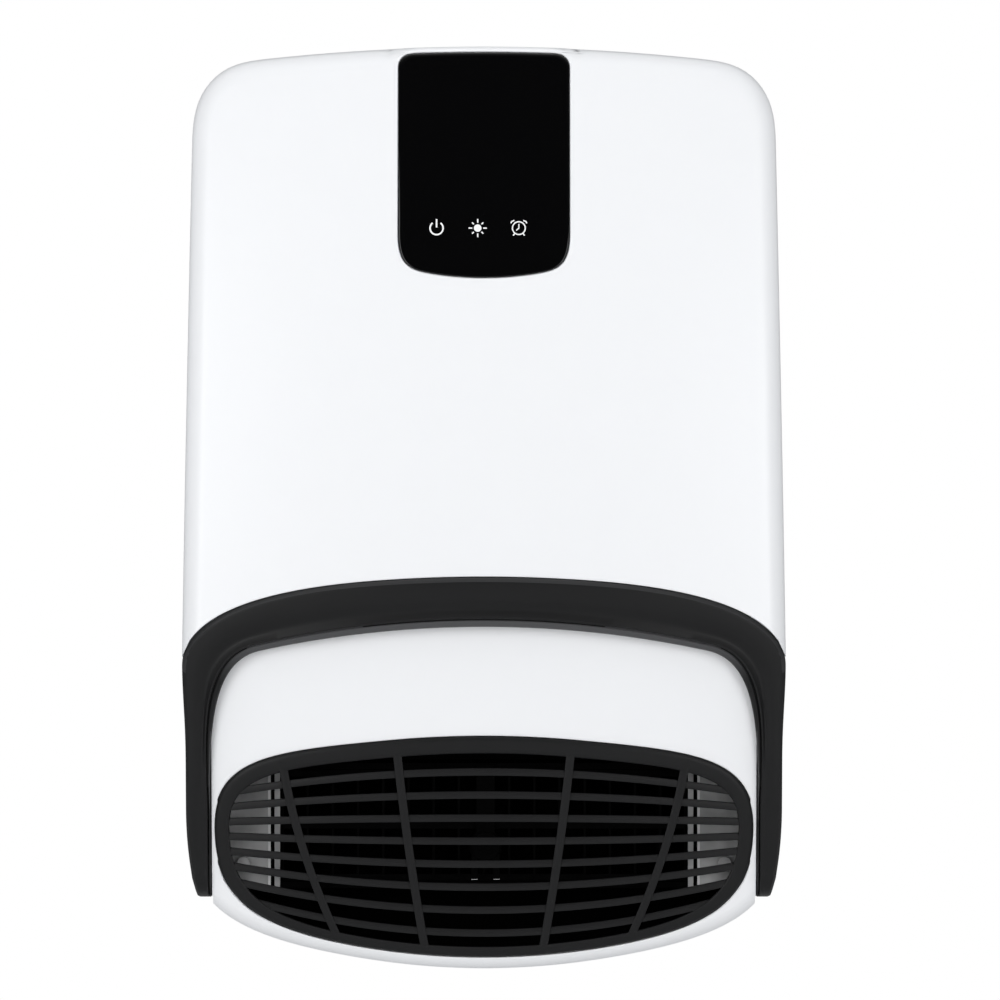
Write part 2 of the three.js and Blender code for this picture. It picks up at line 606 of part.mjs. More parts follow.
function outletGrille() {
  const prism = (outline) => frontPrism(outline, ...FRONT_ROOM);
  const withinRim = prism(inset(GRILLE, 2));
  const rim = cut(prism(GRILLE), frontPrism(grilleInside(), 0, 2 * COVER_DEPTH_ARCH));
  const front = (z) => housingDepth(z) + GRILLE_PROUD;
  const slats = Array.from({ length: SLAT_COUNT }, (_, i) => slat(i));
  const blades = common(join(...slats), withinRim);
  const bars = common(join(bar(93, 12, 18.7), bar(40, 9.5, 4.4)), withinRim);
  const face = common(join(rim, bars), sheetAlong(front, GRILLE_DEPTH, ...overGrille(6), 6, 5));
  const bladeFront = (z) => front(z) - SLAT_SET_BACK;
  const bladeDepth = GRILLE_DEPTH - SLAT_SET_BACK - 0.5;
  const louvre = common(blades, sheetAlong(bladeFront, bladeDepth, ...overGrille(6), 6, 5));
  const behind = (z) => housingDepth(z) - HOUSING_WALL - SEAT - 0.4;
  const flange = common(
    cut(prism(inset(GRILLE, -FLANGE_REACH)), frontPrism(inset(GRILLE, 2), 0, 2 * COVER_DEPTH_ARCH)),
    sheetAlong(behind, 2.2, ...overGrille(4.2), 6, 5),
    block(
      [-FLANGE_HALF_LENGTH, 40, GRILLE_BOTTOM.crownZ + 30],
      [FLANGE_HALF_LENGTH, COVER_DEPTH_ARCH, GRILLE_TOP.crownZ + 10],
    ),
  );
  return join(face, louvre, flange);
}

// ---------------------------------------------------------------- rear casing and wall bracket
const CASING = inset(BODY, COVER_WALL + LAP_GAP);

function rearCasing() {
  const inner = inset(BODY, COVER_WALL + LAP_GAP + CASING_WALL);
  const shell = cut(
    frontPrism(CASING, WALL_GAP, CASING_FRONT),
    frontPrism(inner, INSIDE_DEPTH, CASING_FRONT + 1),
    frontPrism(inner, -1, BACK_WALL_DEPTH),
  );
  const screws = [UPPER_SCREW, LOWER_SCREW].map(({ x, z }) => barY(SCREW_RADIUS + SEAT, -1, 20, x, z));
  const slotTop = HOOK_Z + BRACKET_THICKNESS + SEAT;
  const hookSlot = block(
    [HOOK_X - HOOK_WIDTH / 2 - 1, 0, slotTop - HOOK_RISE - 3],
    [HOOK_X + HOOK_WIDTH / 2 + 1, 20, slotTop],
  );
  const glandHole = barY(GLAND_RADIUS + SEAT, -1, 20, GLAND_X, GLAND_Z, 16);
  const standoffs = BOARD_POSTS.map(([x, z]) => barY(3, INSIDE_DEPTH - 1, BOARD_BACK - SEAT, x, z, 12));
  const louvres = join(bothSides(sideLouvres()), topLouvres());
  const pocketRoom = armRoom(LINE_GAP + HOUSING_WALL + LAP_GAP, POCKET_X - HOUSING_WALL - LAP_GAP, 150);
  const openings = [bothSides(hookSlot), glandHole, louvres, switchHole(), bothSides(pocketRoom)];
  const tray = cut(shell, ...screws.map(bothSides), ...openings);
  const earPosts = PTC_HOLES.map(([x, z]) => barY(3.5, INSIDE_DEPTH - 1, EAR_BACK - SEAT, x, z));
  const bores = PTC_HOLES.map(([x, z]) => barY(SCREW_RADIUS + SEAT, EAR_BACK - 14, EAR_BACK + 5, x, z));
  const carrying = join(tray, ...standoffs, blowerFeet(), bothSides(join(...earPosts)));
  return cut(carrying, bothSides(join(...bores)));
}

const GLAND_X = 92;
const GLAND_Z = 20;
const GLAND_RADIUS = 6;
const BOARD_BACK = INSIDE_DEPTH + 8;
const BOARD_CENTRE = { x: -30, z: 40 };
const BOARD_HALF = { x: 60, z: 40 };
const BOARD_POSTS = [[-1, -1], [1, -1], [-1, 1], [1, 1]].map(([i, j]) => [
  BOARD_CENTRE.x + i * (BOARD_HALF.x - 5),
  BOARD_CENTRE.z + j * (BOARD_HALF.z - 5),
]);

/** Air intake: a ladder of slots in the side wall. */
function sideLouvres() {
  const slots = Array.from({ length: 6 }, (_, i) => {
    const z = -10 + 16 * i;
    return block([BODY_TOP.sideX - 15, 16, z], [BODY_TOP.sideX + 15, 42, z + 5]);
  });
  return join(...slots);
}

function topLouvres() {
  const slots = Array.from({ length: 7 }, (_, i) => {
    const x = 18 * (i - 3);
    return block([x - 2.5, 16, BODY_TOP.crownZ - 20], [x + 2.5, 42, BODY_TOP.crownZ + 20]);
  });
  return join(...slots);
}

function wallBracket() {
  const [halfWidth, halfHeight] = [BRACKET_WIDTH / 2, BRACKET_HEIGHT / 2];
  const plate = block([-halfWidth, 0, -halfHeight], [halfWidth, BRACKET_THICKNESS, halfHeight]);
  const hole = barY(BRACKET_HOLE_RADIUS, -1, 5, halfWidth - 15, halfHeight - 17);
  const holes = bothSides(join(hole, hole.mirror([0, 0, 1])));
  const lighten = block([-19, -1, -40], [19, 5, -12]);
  const reach = INSIDE_DEPTH + SEAT + BRACKET_THICKNESS;
  const [near, far] = [HOOK_X - HOOK_WIDTH / 2, HOOK_X + HOOK_WIDTH / 2];
  const hook = join(
    block([near, BRACKET_THICKNESS / 2, HOOK_Z], [far, reach, HOOK_Z + BRACKET_THICKNESS]),
    block([near, reach - BRACKET_THICKNESS, HOOK_Z], [far, reach, HOOK_Z + HOOK_RISE]),
  );
  return join(cut(plate, holes, lighten), bothSides(hook));
}

/** A pan-head screw that points away from the wall. */
function screw(x, z, headBack, length) {
  const headHeight = 2.2;
  return join(
    barY(SCREW_RADIUS * 2.1, headBack, headBack + headHeight, x, z, 8),
    barY(SCREW_RADIUS, headBack + headHeight - 0.1, headBack + headHeight + length, x, z, 8),
  );
}

/** Two ledges on the back wall that carry the blower's end plates. */
function blowerFeet() {
  const foot = (x, way) => block(
    [x - way * SHEET / 2, INSIDE_DEPTH - 1, ROTOR_Z - 25],
    [x + way * 6, BLOWER_BACK - SEAT, ROTOR_Z + 15],
  );
  return join(foot(LEFT_END, -1), foot(RIGHT_END, 1));
}

// ---------------------------------------------------------------- blower
const BLOWER_BACK = 13;
const LEFT_END = ROTOR_LEFT - FAN_GAP - SHEET / 2;
const RIGHT_END = ROTOR_RIGHT + FAN_GAP + SHEET / 2;

/** A point round the rotor: 0 degrees is above it and 90 degrees is towards the wall. */
function roundRotor(degrees, radius) {
  const angle = degrees * Math.PI / 180;
  return [ROTOR_DEPTH - radius * Math.sin(angle), ROTOR_Z + radius * Math.cos(angle)];
}

/** A bent sheet in side view: a line of points with a thickness added to its right. */
function bentSheet(line, fromX, toX) {
  const away = line.map((point, i) => {
    const before = line[Math.max(0, i - 1)];
    const after = line[Math.min(line.length - 1, i + 1)];
    const along = new THREE.Vector2(after[0] - before[0], after[1] - before[1]).normalize();
    return [point[0] - along.y * SHEET, point[1] + along.x * SHEET];
  });
  return sidePrism([...line, ...away.reverse()], fromX, toX);
}

function fanScroll() {
  const wrap = [20, 45, 70, 90, 110, 128].map((degrees, i) => (
    roundRotor(degrees, ROTOR_RADIUS + FAN_GAP + 0.5 * i)
  ));
  const outlet = [PTC_BACK - 2, PTC_BOTTOM - 1];
  return bentSheet([...wrap, outlet].reverse(), LEFT_END + SHEET / 2 + SEAT, RIGHT_END - SHEET / 2 - SEAT);
}

function fanTongue() {
  const nose = roundRotor(-112, ROTOR_RADIUS + FAN_GAP + 1);
  const line = [nose, [nose[0] + 3, nose[1] - 8], [PTC_BACK + 6, PTC_TOP + SHEET + SEAT]];
  return bentSheet(line, LEFT_END + SHEET / 2 + SEAT, RIGHT_END - SHEET / 2 - SEAT);
}

function blowerEndPlate(x) {
  const [overPtc, behindPtc] = [PTC_TOP + SEAT + 0.5, PTC_BACK - SEAT];
  const outline = [
    [BLOWER_BACK, ROTOR_Z + 30], [ROTOR_DEPTH + 28, ROTOR_Z + 30], [ROTOR_DEPTH + 30, ROTOR_Z - 20],
    [PTC_BACK + 8, overPtc], [behindPtc, overPtc], [behindPtc, PTC_BOTTOM - 4],
    [PTC_BACK - 8, PTC_BOTTOM - 6], [BLOWER_BACK, ROTOR_Z - 34],
  ];
  const plate = sidePrism(outline, x - SHEET / 2, x + SHEET / 2);
  return cut(plate, barX(SHAFT_RADIUS + 3 + SEAT, x - 5, x + 5, ROTOR_DEPTH, ROTOR_Z));
}

/** Cross-flow rotor: curved blades in a ring, held by discs. */
function fanRotor() {
  const disc = (x) => barX(ROTOR_RADIUS, x, x + 1.6, ROTOR_DEPTH, ROTOR_Z, 18);
  const length = ROTOR_RIGHT - ROTOR_LEFT;
  const discs = [0, 1, 2].map((i) => disc(ROTOR_LEFT + (length - 1.6) * i / 2));
  const blades = Array.from({ length: BLADE_COUNT }, (_, i) => {
    const turn = 360 * i / BLADE_COUNT;
    const path = [[0, 0.8], [7, 3.4], [10, 6.4]].map(([a, below]) => [a, ROTOR_RADIUS - below]);
    const outside = path.map(([a, r]) => roundRotor(turn + a, r));
    const inside = path.map(([a, r]) => roundRotor(turn + a - 3, r - 0.8));
    return sidePrism([...outside, ...inside.reverse()], ROTOR_LEFT + 0.5, ROTOR_RIGHT - 0.5);
  });
  const hubs = join(
    barX(6, ROTOR_LEFT, ROTOR_LEFT + 8, ROTOR_DEPTH, ROTOR_Z),
    barX(6, ROTOR_RIGHT - 8, ROTOR_RIGHT, ROTOR_DEPTH, ROTOR_Z),
  );
  const wheel = join(...discs, ...blades, hubs);
  return cut(wheel, shaftBore(ROTOR_LEFT - 5, ROTOR_RIGHT + 5));
}

const MOTOR_LEFT = RIGHT_END + 5;
const SHAFT_LEFT = LEFT_END - 6;
const SHAFT_RIGHT = MOTOR_LEFT + MOTOR_LENGTH - 3;

/** The hole that the shaft needs, from one x to another. */
const shaftBore = (fromX, toX) => barX(SHAFT_RADIUS + SEAT, fromX, toX, ROTOR_DEPTH, ROTOR_Z);

function fanBearing() {
  const bush = barX(SHAFT_RADIUS + 3, LEFT_END - 4, LEFT_END + 2, ROTOR_DEPTH, ROTOR_Z);
  const collar = barX(SHAFT_RADIUS + 6, LEFT_END - 4, LEFT_END - SHEET / 2 - SEAT, ROTOR_DEPTH, ROTOR_Z);
  return cut(join(bush, collar), shaftBore(LEFT_END - 9, LEFT_END + 9));
}

function motorRotor() {
  const drum = barX(11, MOTOR_LEFT + 5, MOTOR_LEFT + MOTOR_LENGTH - 5, ROTOR_DEPTH, ROTOR_Z);
  return cut(drum, shaftBore(MOTOR_LEFT - 5, MOTOR_LEFT + MOTOR_LENGTH + 5));
}

function motorStator() {
  const can = barX(MOTOR_RADIUS, MOTOR_LEFT, MOTOR_LEFT + MOTOR_LENGTH, ROTOR_DEPTH, ROTOR_Z, 24);
  const room = barX(12, MOTOR_LEFT + 4, MOTOR_LEFT + MOTOR_LENGTH - 4, ROTOR_DEPTH, ROTOR_Z);
  return cut(can, room, shaftBore(MOTOR_LEFT - 5, MOTOR_LEFT + MOTOR_LENGTH - 2.5));
}

function motorBracket() {
  const from = RIGHT_END + SHEET / 2 + SEAT;
  const ring = barX(MOTOR_RADIUS + 3, from, MOTOR_LEFT - SEAT, ROTOR_DEPTH, ROTOR_Z, 24);
  return cut(ring, barX(MOTOR_RADIUS - 6, from - 1, MOTOR_LEFT + 1, ROTOR_DEPTH, ROTOR_Z));
}

// ---------------------------------------------------------------- heating element
const PTC_WALL = 3;

function ptcFrame() {
  const outer = block([-PTC_HALF, PTC_BACK, PTC_BOTTOM], [PTC_HALF, PTC_FRONT, PTC_TOP]);
  const half = PTC_HALF - PTC_WALL;
  const [low, high] = [PTC_BOTTOM + PTC_WALL, PTC_TOP - PTC_WALL];
  const inner = block([-half, PTC_BACK - 1, low], [half, PTC_FRONT + 1, high]);
  return cut(outer, inner);
}

/** Finned core: three heating bars across, with upright fins between them. */
function ptcCore() {
  const [front, back] = [PTC_FRONT - 1.5, PTC_BACK + 1.5];
  const right = PTC_HALF - PTC_WALL - SEAT;
  const left = -right;
  const [low, high] = [PTC_BOTTOM + PTC_WALL + SEAT, PTC_TOP - PTC_WALL - SEAT];
  const pitch = (high - low - PTC_WALL) / 2;
  const bars = [0, 1, 2].map((i) => low + pitch * i).map((z) => (
    block([left, back, z], [right, front, z + PTC_WALL])
  ));
  const count = Math.floor((right - left - 1) / FIN_PITCH);
  const fins = Array.from({ length: count + 1 }, (_, i) => {
    const x = left + (right - left - 1) * i / count;
    return block([x, back, low + 0.5], [x + 1, front, high - 0.5]);
  });
  return join(...bars, ...fins);
}

const EAR_BACK = PTC_FRONT - PLATE_SHEET;
const PTC_HOLES = [0.2, 0.8].map((t) => [
  PTC_HALF + PLATE_WIDTH - 5,
  PTC_BOTTOM + (PTC_TOP - PTC_BOTTOM) * t,
]);

/** Sheet-metal ear that carries one end of the heating element. */
function ptcPlate() {
  const inner = PTC_HALF + SEAT;
  const bend = inner + PLATE_SHEET;
  const face = block([inner, EAR_BACK, PTC_BOTTOM + 1], [bend + PLATE_WIDTH, PTC_FRONT, PTC_TOP]);
  const flange = block([inner, PTC_BACK + 1, PTC_BOTTOM + 1], [bend, PTC_FRONT, PTC_TOP]);
  const holes = PTC_HOLES.map(([x, z]) => barY(SCREW_RADIUS + SEAT, EAR_BACK - 3, PTC_FRONT + 1, x, z));
  return cut(join(face, flange), ...holes);
}

/** A screw driven from the front through an ear into its post. */
function earScrew(x, z) {
  const front = PTC_FRONT + SEAT;
  return join(
    barY(SCREW_RADIUS * 2, front, front + 1.8, x, z, 8),
    barY(SCREW_RADIUS, front - 12, front + 0.1, x, z, 8),
  );
}

const CUTOUT_X = 0.7;
const CUTOUT_Z = PTC_BOTTOM + 19;
const CUTOUT_BACK = PTC_FRONT + SEAT;

function cutoutBracket() {
  const [left, right] = [CUTOUT_X - 4.2, CUTOUT_X + 4.2];
  const strip = block([left, CUTOUT_BACK, CUTOUT_Z - 4], [right, CUTOUT_BACK + 1, PTC_TOP - 0.5]);
  const ear = barY(7.5, CUTOUT_BACK, CUTOUT_BACK + 1, CUTOUT_X, CUTOUT_Z, 20);
  return join(strip, ear);
}

function thermalCutout() {
  const back = CUTOUT_BACK + 1 + SEAT;
  const can = barY(6.5, back, back + 5, CUTOUT_X, CUTOUT_Z, 20);
  const blade = (x) => block([x - 1.5, back + 3.5, CUTOUT_Z - 15], [x + 1.5, back + 4.3, CUTOUT_Z - 3]);
  return join(can, blade(CUTOUT_X - 5), blade(CUTOUT_X + 5));
}

// ---------------------------------------------------------------- electronics
function powerBoard() {
  const { x, z } = BOARD_CENTRE;
  const [halfX, halfZ] = [BOARD_HALF.x, BOARD_HALF.z];
  return block([x - halfX, BOARD_BACK, z - halfZ], [x + halfX, BOARD_BACK + BOARD_THICKNESS, z + halfZ]);
}

const HEATER_RELAY = { dx: -38, dz: 12, width: 20, height: 28, tall: 16 };
const FAN_RELAY = { dx: -10, dz: 14, width: 16, height: 20, tall: 15 };
const CAPACITOR = { dx: 18, dz: -22, radius: 6, tall: 22 };

/** A component standing on the power board. */
function onBoard({ dx, dz, width, height, tall }) {
  const [x, z] = [BOARD_CENTRE.x + dx, BOARD_CENTRE.z + dz];
  const base = BOARD_BACK + BOARD_THICKNESS + SEAT;
  return block([x - width / 2, base, z - height / 2], [x + width / 2, base + tall, z + height / 2]);
}

function capacitor() {
  const base = BOARD_BACK + BOARD_THICKNESS + SEAT;
  const { dx, dz, radius, tall } = CAPACITOR;
  return barY(radius, base, base + tall, BOARD_CENTRE.x + dx, BOARD_CENTRE.z + dz, 20);
}

function terminalBlock() {
  const base = INSIDE_DEPTH + SEAT;
  const body = block([68, base, -22], [104, base + 16, -4]);
  const holes = [-12, 0, 12].map((dx) => barY(3, base + 8, base + 20, 86 + dx, -13, 12));
  return cut(body, ...holes);
}

function cableGland() {
  const collarFront = BACK_WALL_DEPTH - SEAT;
  const collar = barY(GLAND_RADIUS + 3, collarFront - 2, collarFront, GLAND_X, GLAND_Z, 16);
  const barrel = barY(GLAND_RADIUS, BACK_WALL_DEPTH - 2, INSIDE_DEPTH + 9, GLAND_X, GLAND_Z, 16);
  return cut(join(collar, barrel), barY(3.5, 0, INSIDE_DEPTH + 15, GLAND_X, GLAND_Z));
}

// Touch electronics lie parallel to the panel, in a frame of their own behind the keys.
const PANEL_TILT = Math.atan((coverDepth(KEY_Z + 30) - coverDepth(KEY_Z - 5)) / 35);
const KEY_BACK = coverDepth(KEY_Z) + PANEL_PROUD - PANEL_THICKNESS - SEAT;

/** In the tilted frame, depth 0 is the back of the panel at the keys and z 0 is their row. */
function touchSpring(x) {
  const outside = barY(3.6, -TOUCH_SPRING_LENGTH, -SEAT, x, 0, 10);
  return cut(outside, barY(2.6, -TOUCH_SPRING_LENGTH - 1, -1.5, x, 0, 10));
}

function controlBoard() {
  const front = -TOUCH_SPRING_LENGTH - SEAT;
  return block([-31, front - BOARD_THICKNESS, -12], [31, front, 48]);
}

function boardCarrier() {
  const front = -TOUCH_SPRING_LENGTH - 2 * SEAT - BOARD_THICKNESS;
  const half = CARRIER_HALF_WIDTH;
  const tray = block([-half, front - 2, -16], [half, front, 52]);
  const lip = block([half - 3.6, front - 1, -16], [half, front + 3, 52]);
  return cut(join(tray, bothSides(lip)), block([-26, front - 5, -4], [26, front + 5, 40]));
}

function buzzer() {
  const back = -TOUCH_SPRING_LENGTH;
  return barY(5, back, back + 5, 22, 30, 20);
}

// ---------------------------------------------------------------- main switch
const BEZEL_HALF_HEIGHT = 11;
const SWITCH_X = sideAt(SWITCH_Z - BEZEL_HALF_HEIGHT) - COVER_WALL - LAP_GAP;

const switchHole = () => roundSwitch(-20, 20, 6.8, 9.8);

/** A block round the switch's middle, from one x to another. */
function roundSwitch(fromX, toX, halfDepth, halfHeight) {
  return block(
    [SWITCH_X + fromX, SWITCH_DEPTH - halfDepth, SWITCH_Z - halfHeight],
    [SWITCH_X + toX, SWITCH_DEPTH + halfDepth, SWITCH_Z + halfHeight],
  );
}

function switchBody() {
  const bezel = roundSwitch(SEAT, SEAT + 1.6, 8, BEZEL_HALF_HEIGHT);
  const tub = roundSwitch(-13, 1, 6.4, 9.4);
  return cut(join(bezel, tub), roundSwitch(-8, 6, 5, 8));
}

/** The rocker turns about its own axis across the switch and is pressed at one end or the other. */
function rocker() {
  const outline = [[-3, -3], [1.5, -7], [3.6, -6.6], [2.6, 0], [3.6, 6.6], [1.5, 7], [-3, 3]];
  const centre = new THREE.Vector2(SWITCH_X - 2, SWITCH_Z);
  const tilt = -ROCKER_THROW / 2 * Math.PI / 180;
  const tilted = outline.map(([x, z]) => (
    new THREE.Vector2(x, z).rotateAround(new THREE.Vector2(), tilt).add(centre).toArray()
  ));
  return frontPrism(tilted, SWITCH_DEPTH - 4.6, SWITCH_DEPTH + 4.6);
}

// ---------------------------------------------------------------- rail pivots
const WASHER_INNER = POCKET_X - BOSS_LENGTH - SEAT - WASHER_THICKNESS;

function railPivot() {
  const headInner = WASHER_INNER - SEAT - 1.3;
  const pin = barX(PIVOT_RADIUS, headInner, ARM_INNER_X + PIVOT_GRIP, PIVOT_DEPTH, PIVOT_Z);
  const head = barX(PIVOT_RADIUS + 1.7, headInner, WASHER_INNER - SEAT, PIVOT_DEPTH, PIVOT_Z);
  return join(pin, head);
}

function frictionWasher() {
  const outer = WASHER_INNER + WASHER_THICKNESS;
  return cut(
    barX(PIVOT_RADIUS + 1.6, WASHER_INNER, outer, PIVOT_DEPTH, PIVOT_Z),
    barX(PIVOT_RADIUS + SEAT, WASHER_INNER - 1, outer + 1, PIVOT_DEPTH, PIVOT_Z),
  );
}

// ---------------------------------------------------------------- the assembly
const heater = new THREE.Group();

function add(name, shape, material, parent = heater) {
  const { vertProperties, triVerts } = shape.getMesh();
  const geometry = new THREE.BufferGeometry();
  geometry.setAttribute('position', new THREE.Float32BufferAttribute(vertProperties, 3));
  geometry.setIndex([...triVerts]);
  geometry.computeVertexNormals();
  const mesh = new THREE.Mesh(geometry, material);
  mesh.name = name;
  parent.add(mesh);
  return mesh;
}

/** Adds a right-hand piece and its mirror image on the left. */
function addPair(name, shape, material) {
  add(`${name}_right`, shape, material);
  add(`${name}_left`, mirrored(shape), material);
}

add('wall_bracket', wallBracket(), STEEL);
add('rear_casing', rearCasing(), WHITE);
add('front_cover', frontCover(), WHITE);
add('outlet_housing', outletHousing(), WHITE);
add('outlet_grille', outletGrille(), DARK);
add('towel_rail', towelRail(), DARK);
addPair('rail_pivot', railPivot(), STEEL);
addPair('rail_friction_washer', frictionWasher(), STEEL);
add('touch_panel', touchPanel(), GLASS_BLACK);

const keys = new THREE.Group();
keys.position.set(0, -KEY_BACK, KEY_Z);
keys.rotation.x = PANEL_TILT;
heater.add(keys);
add('control_board', controlBoard(), BOARD_GREEN, keys);
add('board_carrier', boardCarrier(), BLACK, keys);
add('buzzer', buzzer(), BLACK, keys);
for (const [key, x] of Object.entries(KEY_X)) add(`touch_spring_${key}`, touchSpring(x), STEEL, keys);

add('power_board', powerBoard(), BOARD_GREEN);
add('relay_heater', onBoard(HEATER_RELAY), BLACK);
add('relay_fan', onBoard(FAN_RELAY), BLACK);
add('capacitor', capacitor(), BLACK);
add('terminal_block', terminalBlock(), CREAM);
add('cable_gland', cableGland(), RUBBER);

add('ptc_frame', ptcFrame(), BLACK);
add('ptc_core', ptcCore(), ALUMINIUM);
addPair('ptc_plate', ptcPlate(), STEEL);
add('cutout_bracket', cutoutBracket(), STEEL);
add('thermal_cutout', thermalCutout(), STEEL);

add('blower_end_left', blowerEndPlate(LEFT_END), STEEL);
add('blower_end_right', blowerEndPlate(RIGHT_END), STEEL);
add('fan_scroll', fanScroll(), STEEL);
add('fan_tongue', fanTongue(), STEEL);
add('fan_rotor', fanRotor(), BLACK);
add('fan_shaft', barX(SHAFT_RADIUS, SHAFT_LEFT, SHAFT_RIGHT, ROTOR_DEPTH, ROTOR_Z), STEEL);
add('fan_bearing', fanBearing(), RUBBER);
add('motor_bracket', motorBracket(), STEEL);
add('motor_stator', motorStator(), STEEL);
add('motor_rotor', motorRotor(), ALUMINIUM);

add('switch_body', switchBody(), BLACK);
add('switch_rocker', rocker(), BLACK);

const screwBack = BACK_WALL_DEPTH - SEAT - 2.2;
addPair('case_screw_upper', screw(UPPER_SCREW.x, UPPER_SCREW.z, screwBack, 16), STEEL);
addPair('case_screw_lower', screw(LOWER_SCREW.x, LOWER_SCREW.z, screwBack, 16), STEEL);
PTC_HOLES.forEach(([x, z], i) => addPair(`ear_screw_${i ? 'upper' : 'lower'}`, earScrew(x, z), STEEL));

export default heater;
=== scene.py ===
import json
import logging
import math
from dataclasses import dataclass, field
from enum import Enum
from typing import Callable, Sequence

import bmesh
import bpy
import numpy as np
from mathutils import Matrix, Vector

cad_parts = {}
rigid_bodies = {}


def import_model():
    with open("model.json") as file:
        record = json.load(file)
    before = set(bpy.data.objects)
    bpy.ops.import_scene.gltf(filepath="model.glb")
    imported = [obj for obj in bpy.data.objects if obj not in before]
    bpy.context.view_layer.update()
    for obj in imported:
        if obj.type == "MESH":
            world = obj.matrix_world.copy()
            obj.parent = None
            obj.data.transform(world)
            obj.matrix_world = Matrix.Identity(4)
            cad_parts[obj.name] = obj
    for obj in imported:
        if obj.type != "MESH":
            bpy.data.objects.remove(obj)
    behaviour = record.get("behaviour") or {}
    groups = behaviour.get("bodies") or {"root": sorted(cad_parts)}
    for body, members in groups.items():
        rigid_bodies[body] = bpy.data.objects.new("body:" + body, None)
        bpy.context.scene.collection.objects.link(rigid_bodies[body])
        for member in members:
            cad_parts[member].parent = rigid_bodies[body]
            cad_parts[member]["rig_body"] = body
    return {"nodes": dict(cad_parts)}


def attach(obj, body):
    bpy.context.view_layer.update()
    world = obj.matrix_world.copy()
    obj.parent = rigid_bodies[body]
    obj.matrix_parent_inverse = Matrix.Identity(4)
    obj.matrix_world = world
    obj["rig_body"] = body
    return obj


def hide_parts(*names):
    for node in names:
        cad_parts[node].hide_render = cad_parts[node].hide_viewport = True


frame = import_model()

log = logging.getLogger("fan_heater")

MM = 0.001  # shapes are worked out in millimetres and made in metres
AS_METRES = (MM, -MM, MM)  # turns (x, depth, z) in millimetres into (x, y, z) in metres
WELD = 1e-6  # metres, under which two vertices are one
SHARP = 40  # degrees between two faces, over which their edge is bevelled
FLAT = 0.6  # degrees between two faces, under which they are one flat face
STITCH = 0.02  # millimetres between the arch's last point and the side's first
ANTHRACITE = (0.0088, 0.0088, 0.0092)
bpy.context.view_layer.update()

Front = np.ndarray  # rows of (x, z), seen from the front
Skin = Callable[[Front], np.ndarray]  # depth from the wall at points of the front view


# ------------------------------------------------------------------ outlines in front view
@dataclass(frozen=True)
class Edge:
    """A shallow arc over the centre line that runs through a fuller corner into a side."""

    crown_z: float
    radius: float
    break_x: float
    side_x: float
    side_z: float
    full: tuple[float, float]

    def half(self, arc_steps: int = 40, corner_steps: int = 60) -> Front:
        """Points from the centre line to the side.

        Args:
            arc_steps: Steps along the shallow arc.
            corner_steps: Steps round the corner.

        Returns:
            The points of the right half.
        """
        way = math.copysign(1, self.side_z - self.crown_z)
        turn = math.asin(self.break_x / self.radius)
        angles = turn * np.arange(arc_steps) / arc_steps
        arc = np.stack([self.radius * np.sin(angles), self.crown_z + way * self.radius * (1 - np.cos(angles))], 1)
        start = np.array([self.break_x, self.crown_z + way * self.radius * (1 - math.cos(turn))])
        corner = np.array([self.side_x, start[1] + way * (self.side_x - self.break_x) * math.tan(turn)])
        end = np.array([self.side_x, self.side_z])
        near = start + (corner - start) * self.full[0]
        far = end + (corner - end) * self.full[1]
        t = np.linspace(0, 1, corner_steps + 1)[:, None]
        bend = (1 - t) ** 3 * start + 3 * (1 - t) ** 2 * t * near + 3 * (1 - t) * t**2 * far + t**3 * end
        return np.concatenate([arc, bend])

    def moved(self, dz: float = 0, dx: float = 0) -> "Edge":
        """The same edge with its crown moved up and its side moved out."""
        return Edge(self.crown_z + dz, self.radius, self.break_x, self.side_x + dx, self.side_z, self.full)


def spread(points: Front, count: int) -> Front:
    """Points spread evenly along a line.

    Args:
        points: The line.
        count: How many steps the new line has.

    Returns:
        count + 1 points.
    """
    steps = np.hypot(*np.diff(points, axis=0).T)
    run = np.concatenate([[0], np.cumsum(steps)])
    at = np.linspace(0, run[-1], count + 1)
    return np.stack([np.interp(at, run, points[:, k]) for k in (0, 1)], 1)


def gathered(points: Front, count: int, pull: float) -> Front:
    """Points along a line, ever closer together towards its end."""
    steps = np.hypot(*np.diff(points, axis=0).T)
    run = np.concatenate([[0], np.cumsum(steps)])
    at = run[-1] * (1 - (1 - np.linspace(0, 1, count + 1)) ** pull)
    return np.stack([np.interp(at, run, points[:, k]) for k in (0, 1)], 1)


def eased(points: Front, reach: int) -> Front:
    """The line with its corners eased by a running mean, its ends kept."""
    out = points.copy()
    for k in range(1, len(points) - 1):
        r = min(reach, k, len(points) - 1 - k)
        out[k] = points[k - r : k + r + 1].mean(axis=0)
    return out


def closed(right: Front) -> Front:
    """A closed outline from its right half, which runs from one centre point to the other."""
    left = right[1:-1][::-1] * (-1, 1)
    return np.concatenate([right, left])


def inset(outline: Front, distance: float) -> Front:
    """A clockwise outline moved inwards; a negative distance moves it outwards."""
    back = outline - np.roll(outline, 1, axis=0)
    ahead = np.roll(outline, -1, axis=0) - outline
    along = back / np.hypot(*back.T)[:, None] + ahead / np.hypot(*ahead.T)[:, None]
    normal = np.stack([along[:, 1], -along[:, 0]], 1)
    return outline + normal / np.hypot(*normal.T)[:, None] * distance


def distance_to(line: Front, points: Front, loop: bool = True) -> np.ndarray:
    """Distance of each point from a line of short pieces.

    Args:
        line: The line.
        points: Where the distance is wanted.
        loop: Whether the line closes on itself.

    Returns:
        One distance for each point.
    """
    start = line if loop else line[:-1]
    step = (np.roll(line, -1, axis=0) if loop else line[1:]) - start
    best = np.full(len(points), np.inf)
    for a, d in zip(start, step):
        rel = points - a
        t = np.clip(rel @ d / (d @ d), 0, 1)
        best = np.minimum(best, np.hypot(*(rel - t[:, None] * d).T))
    return best


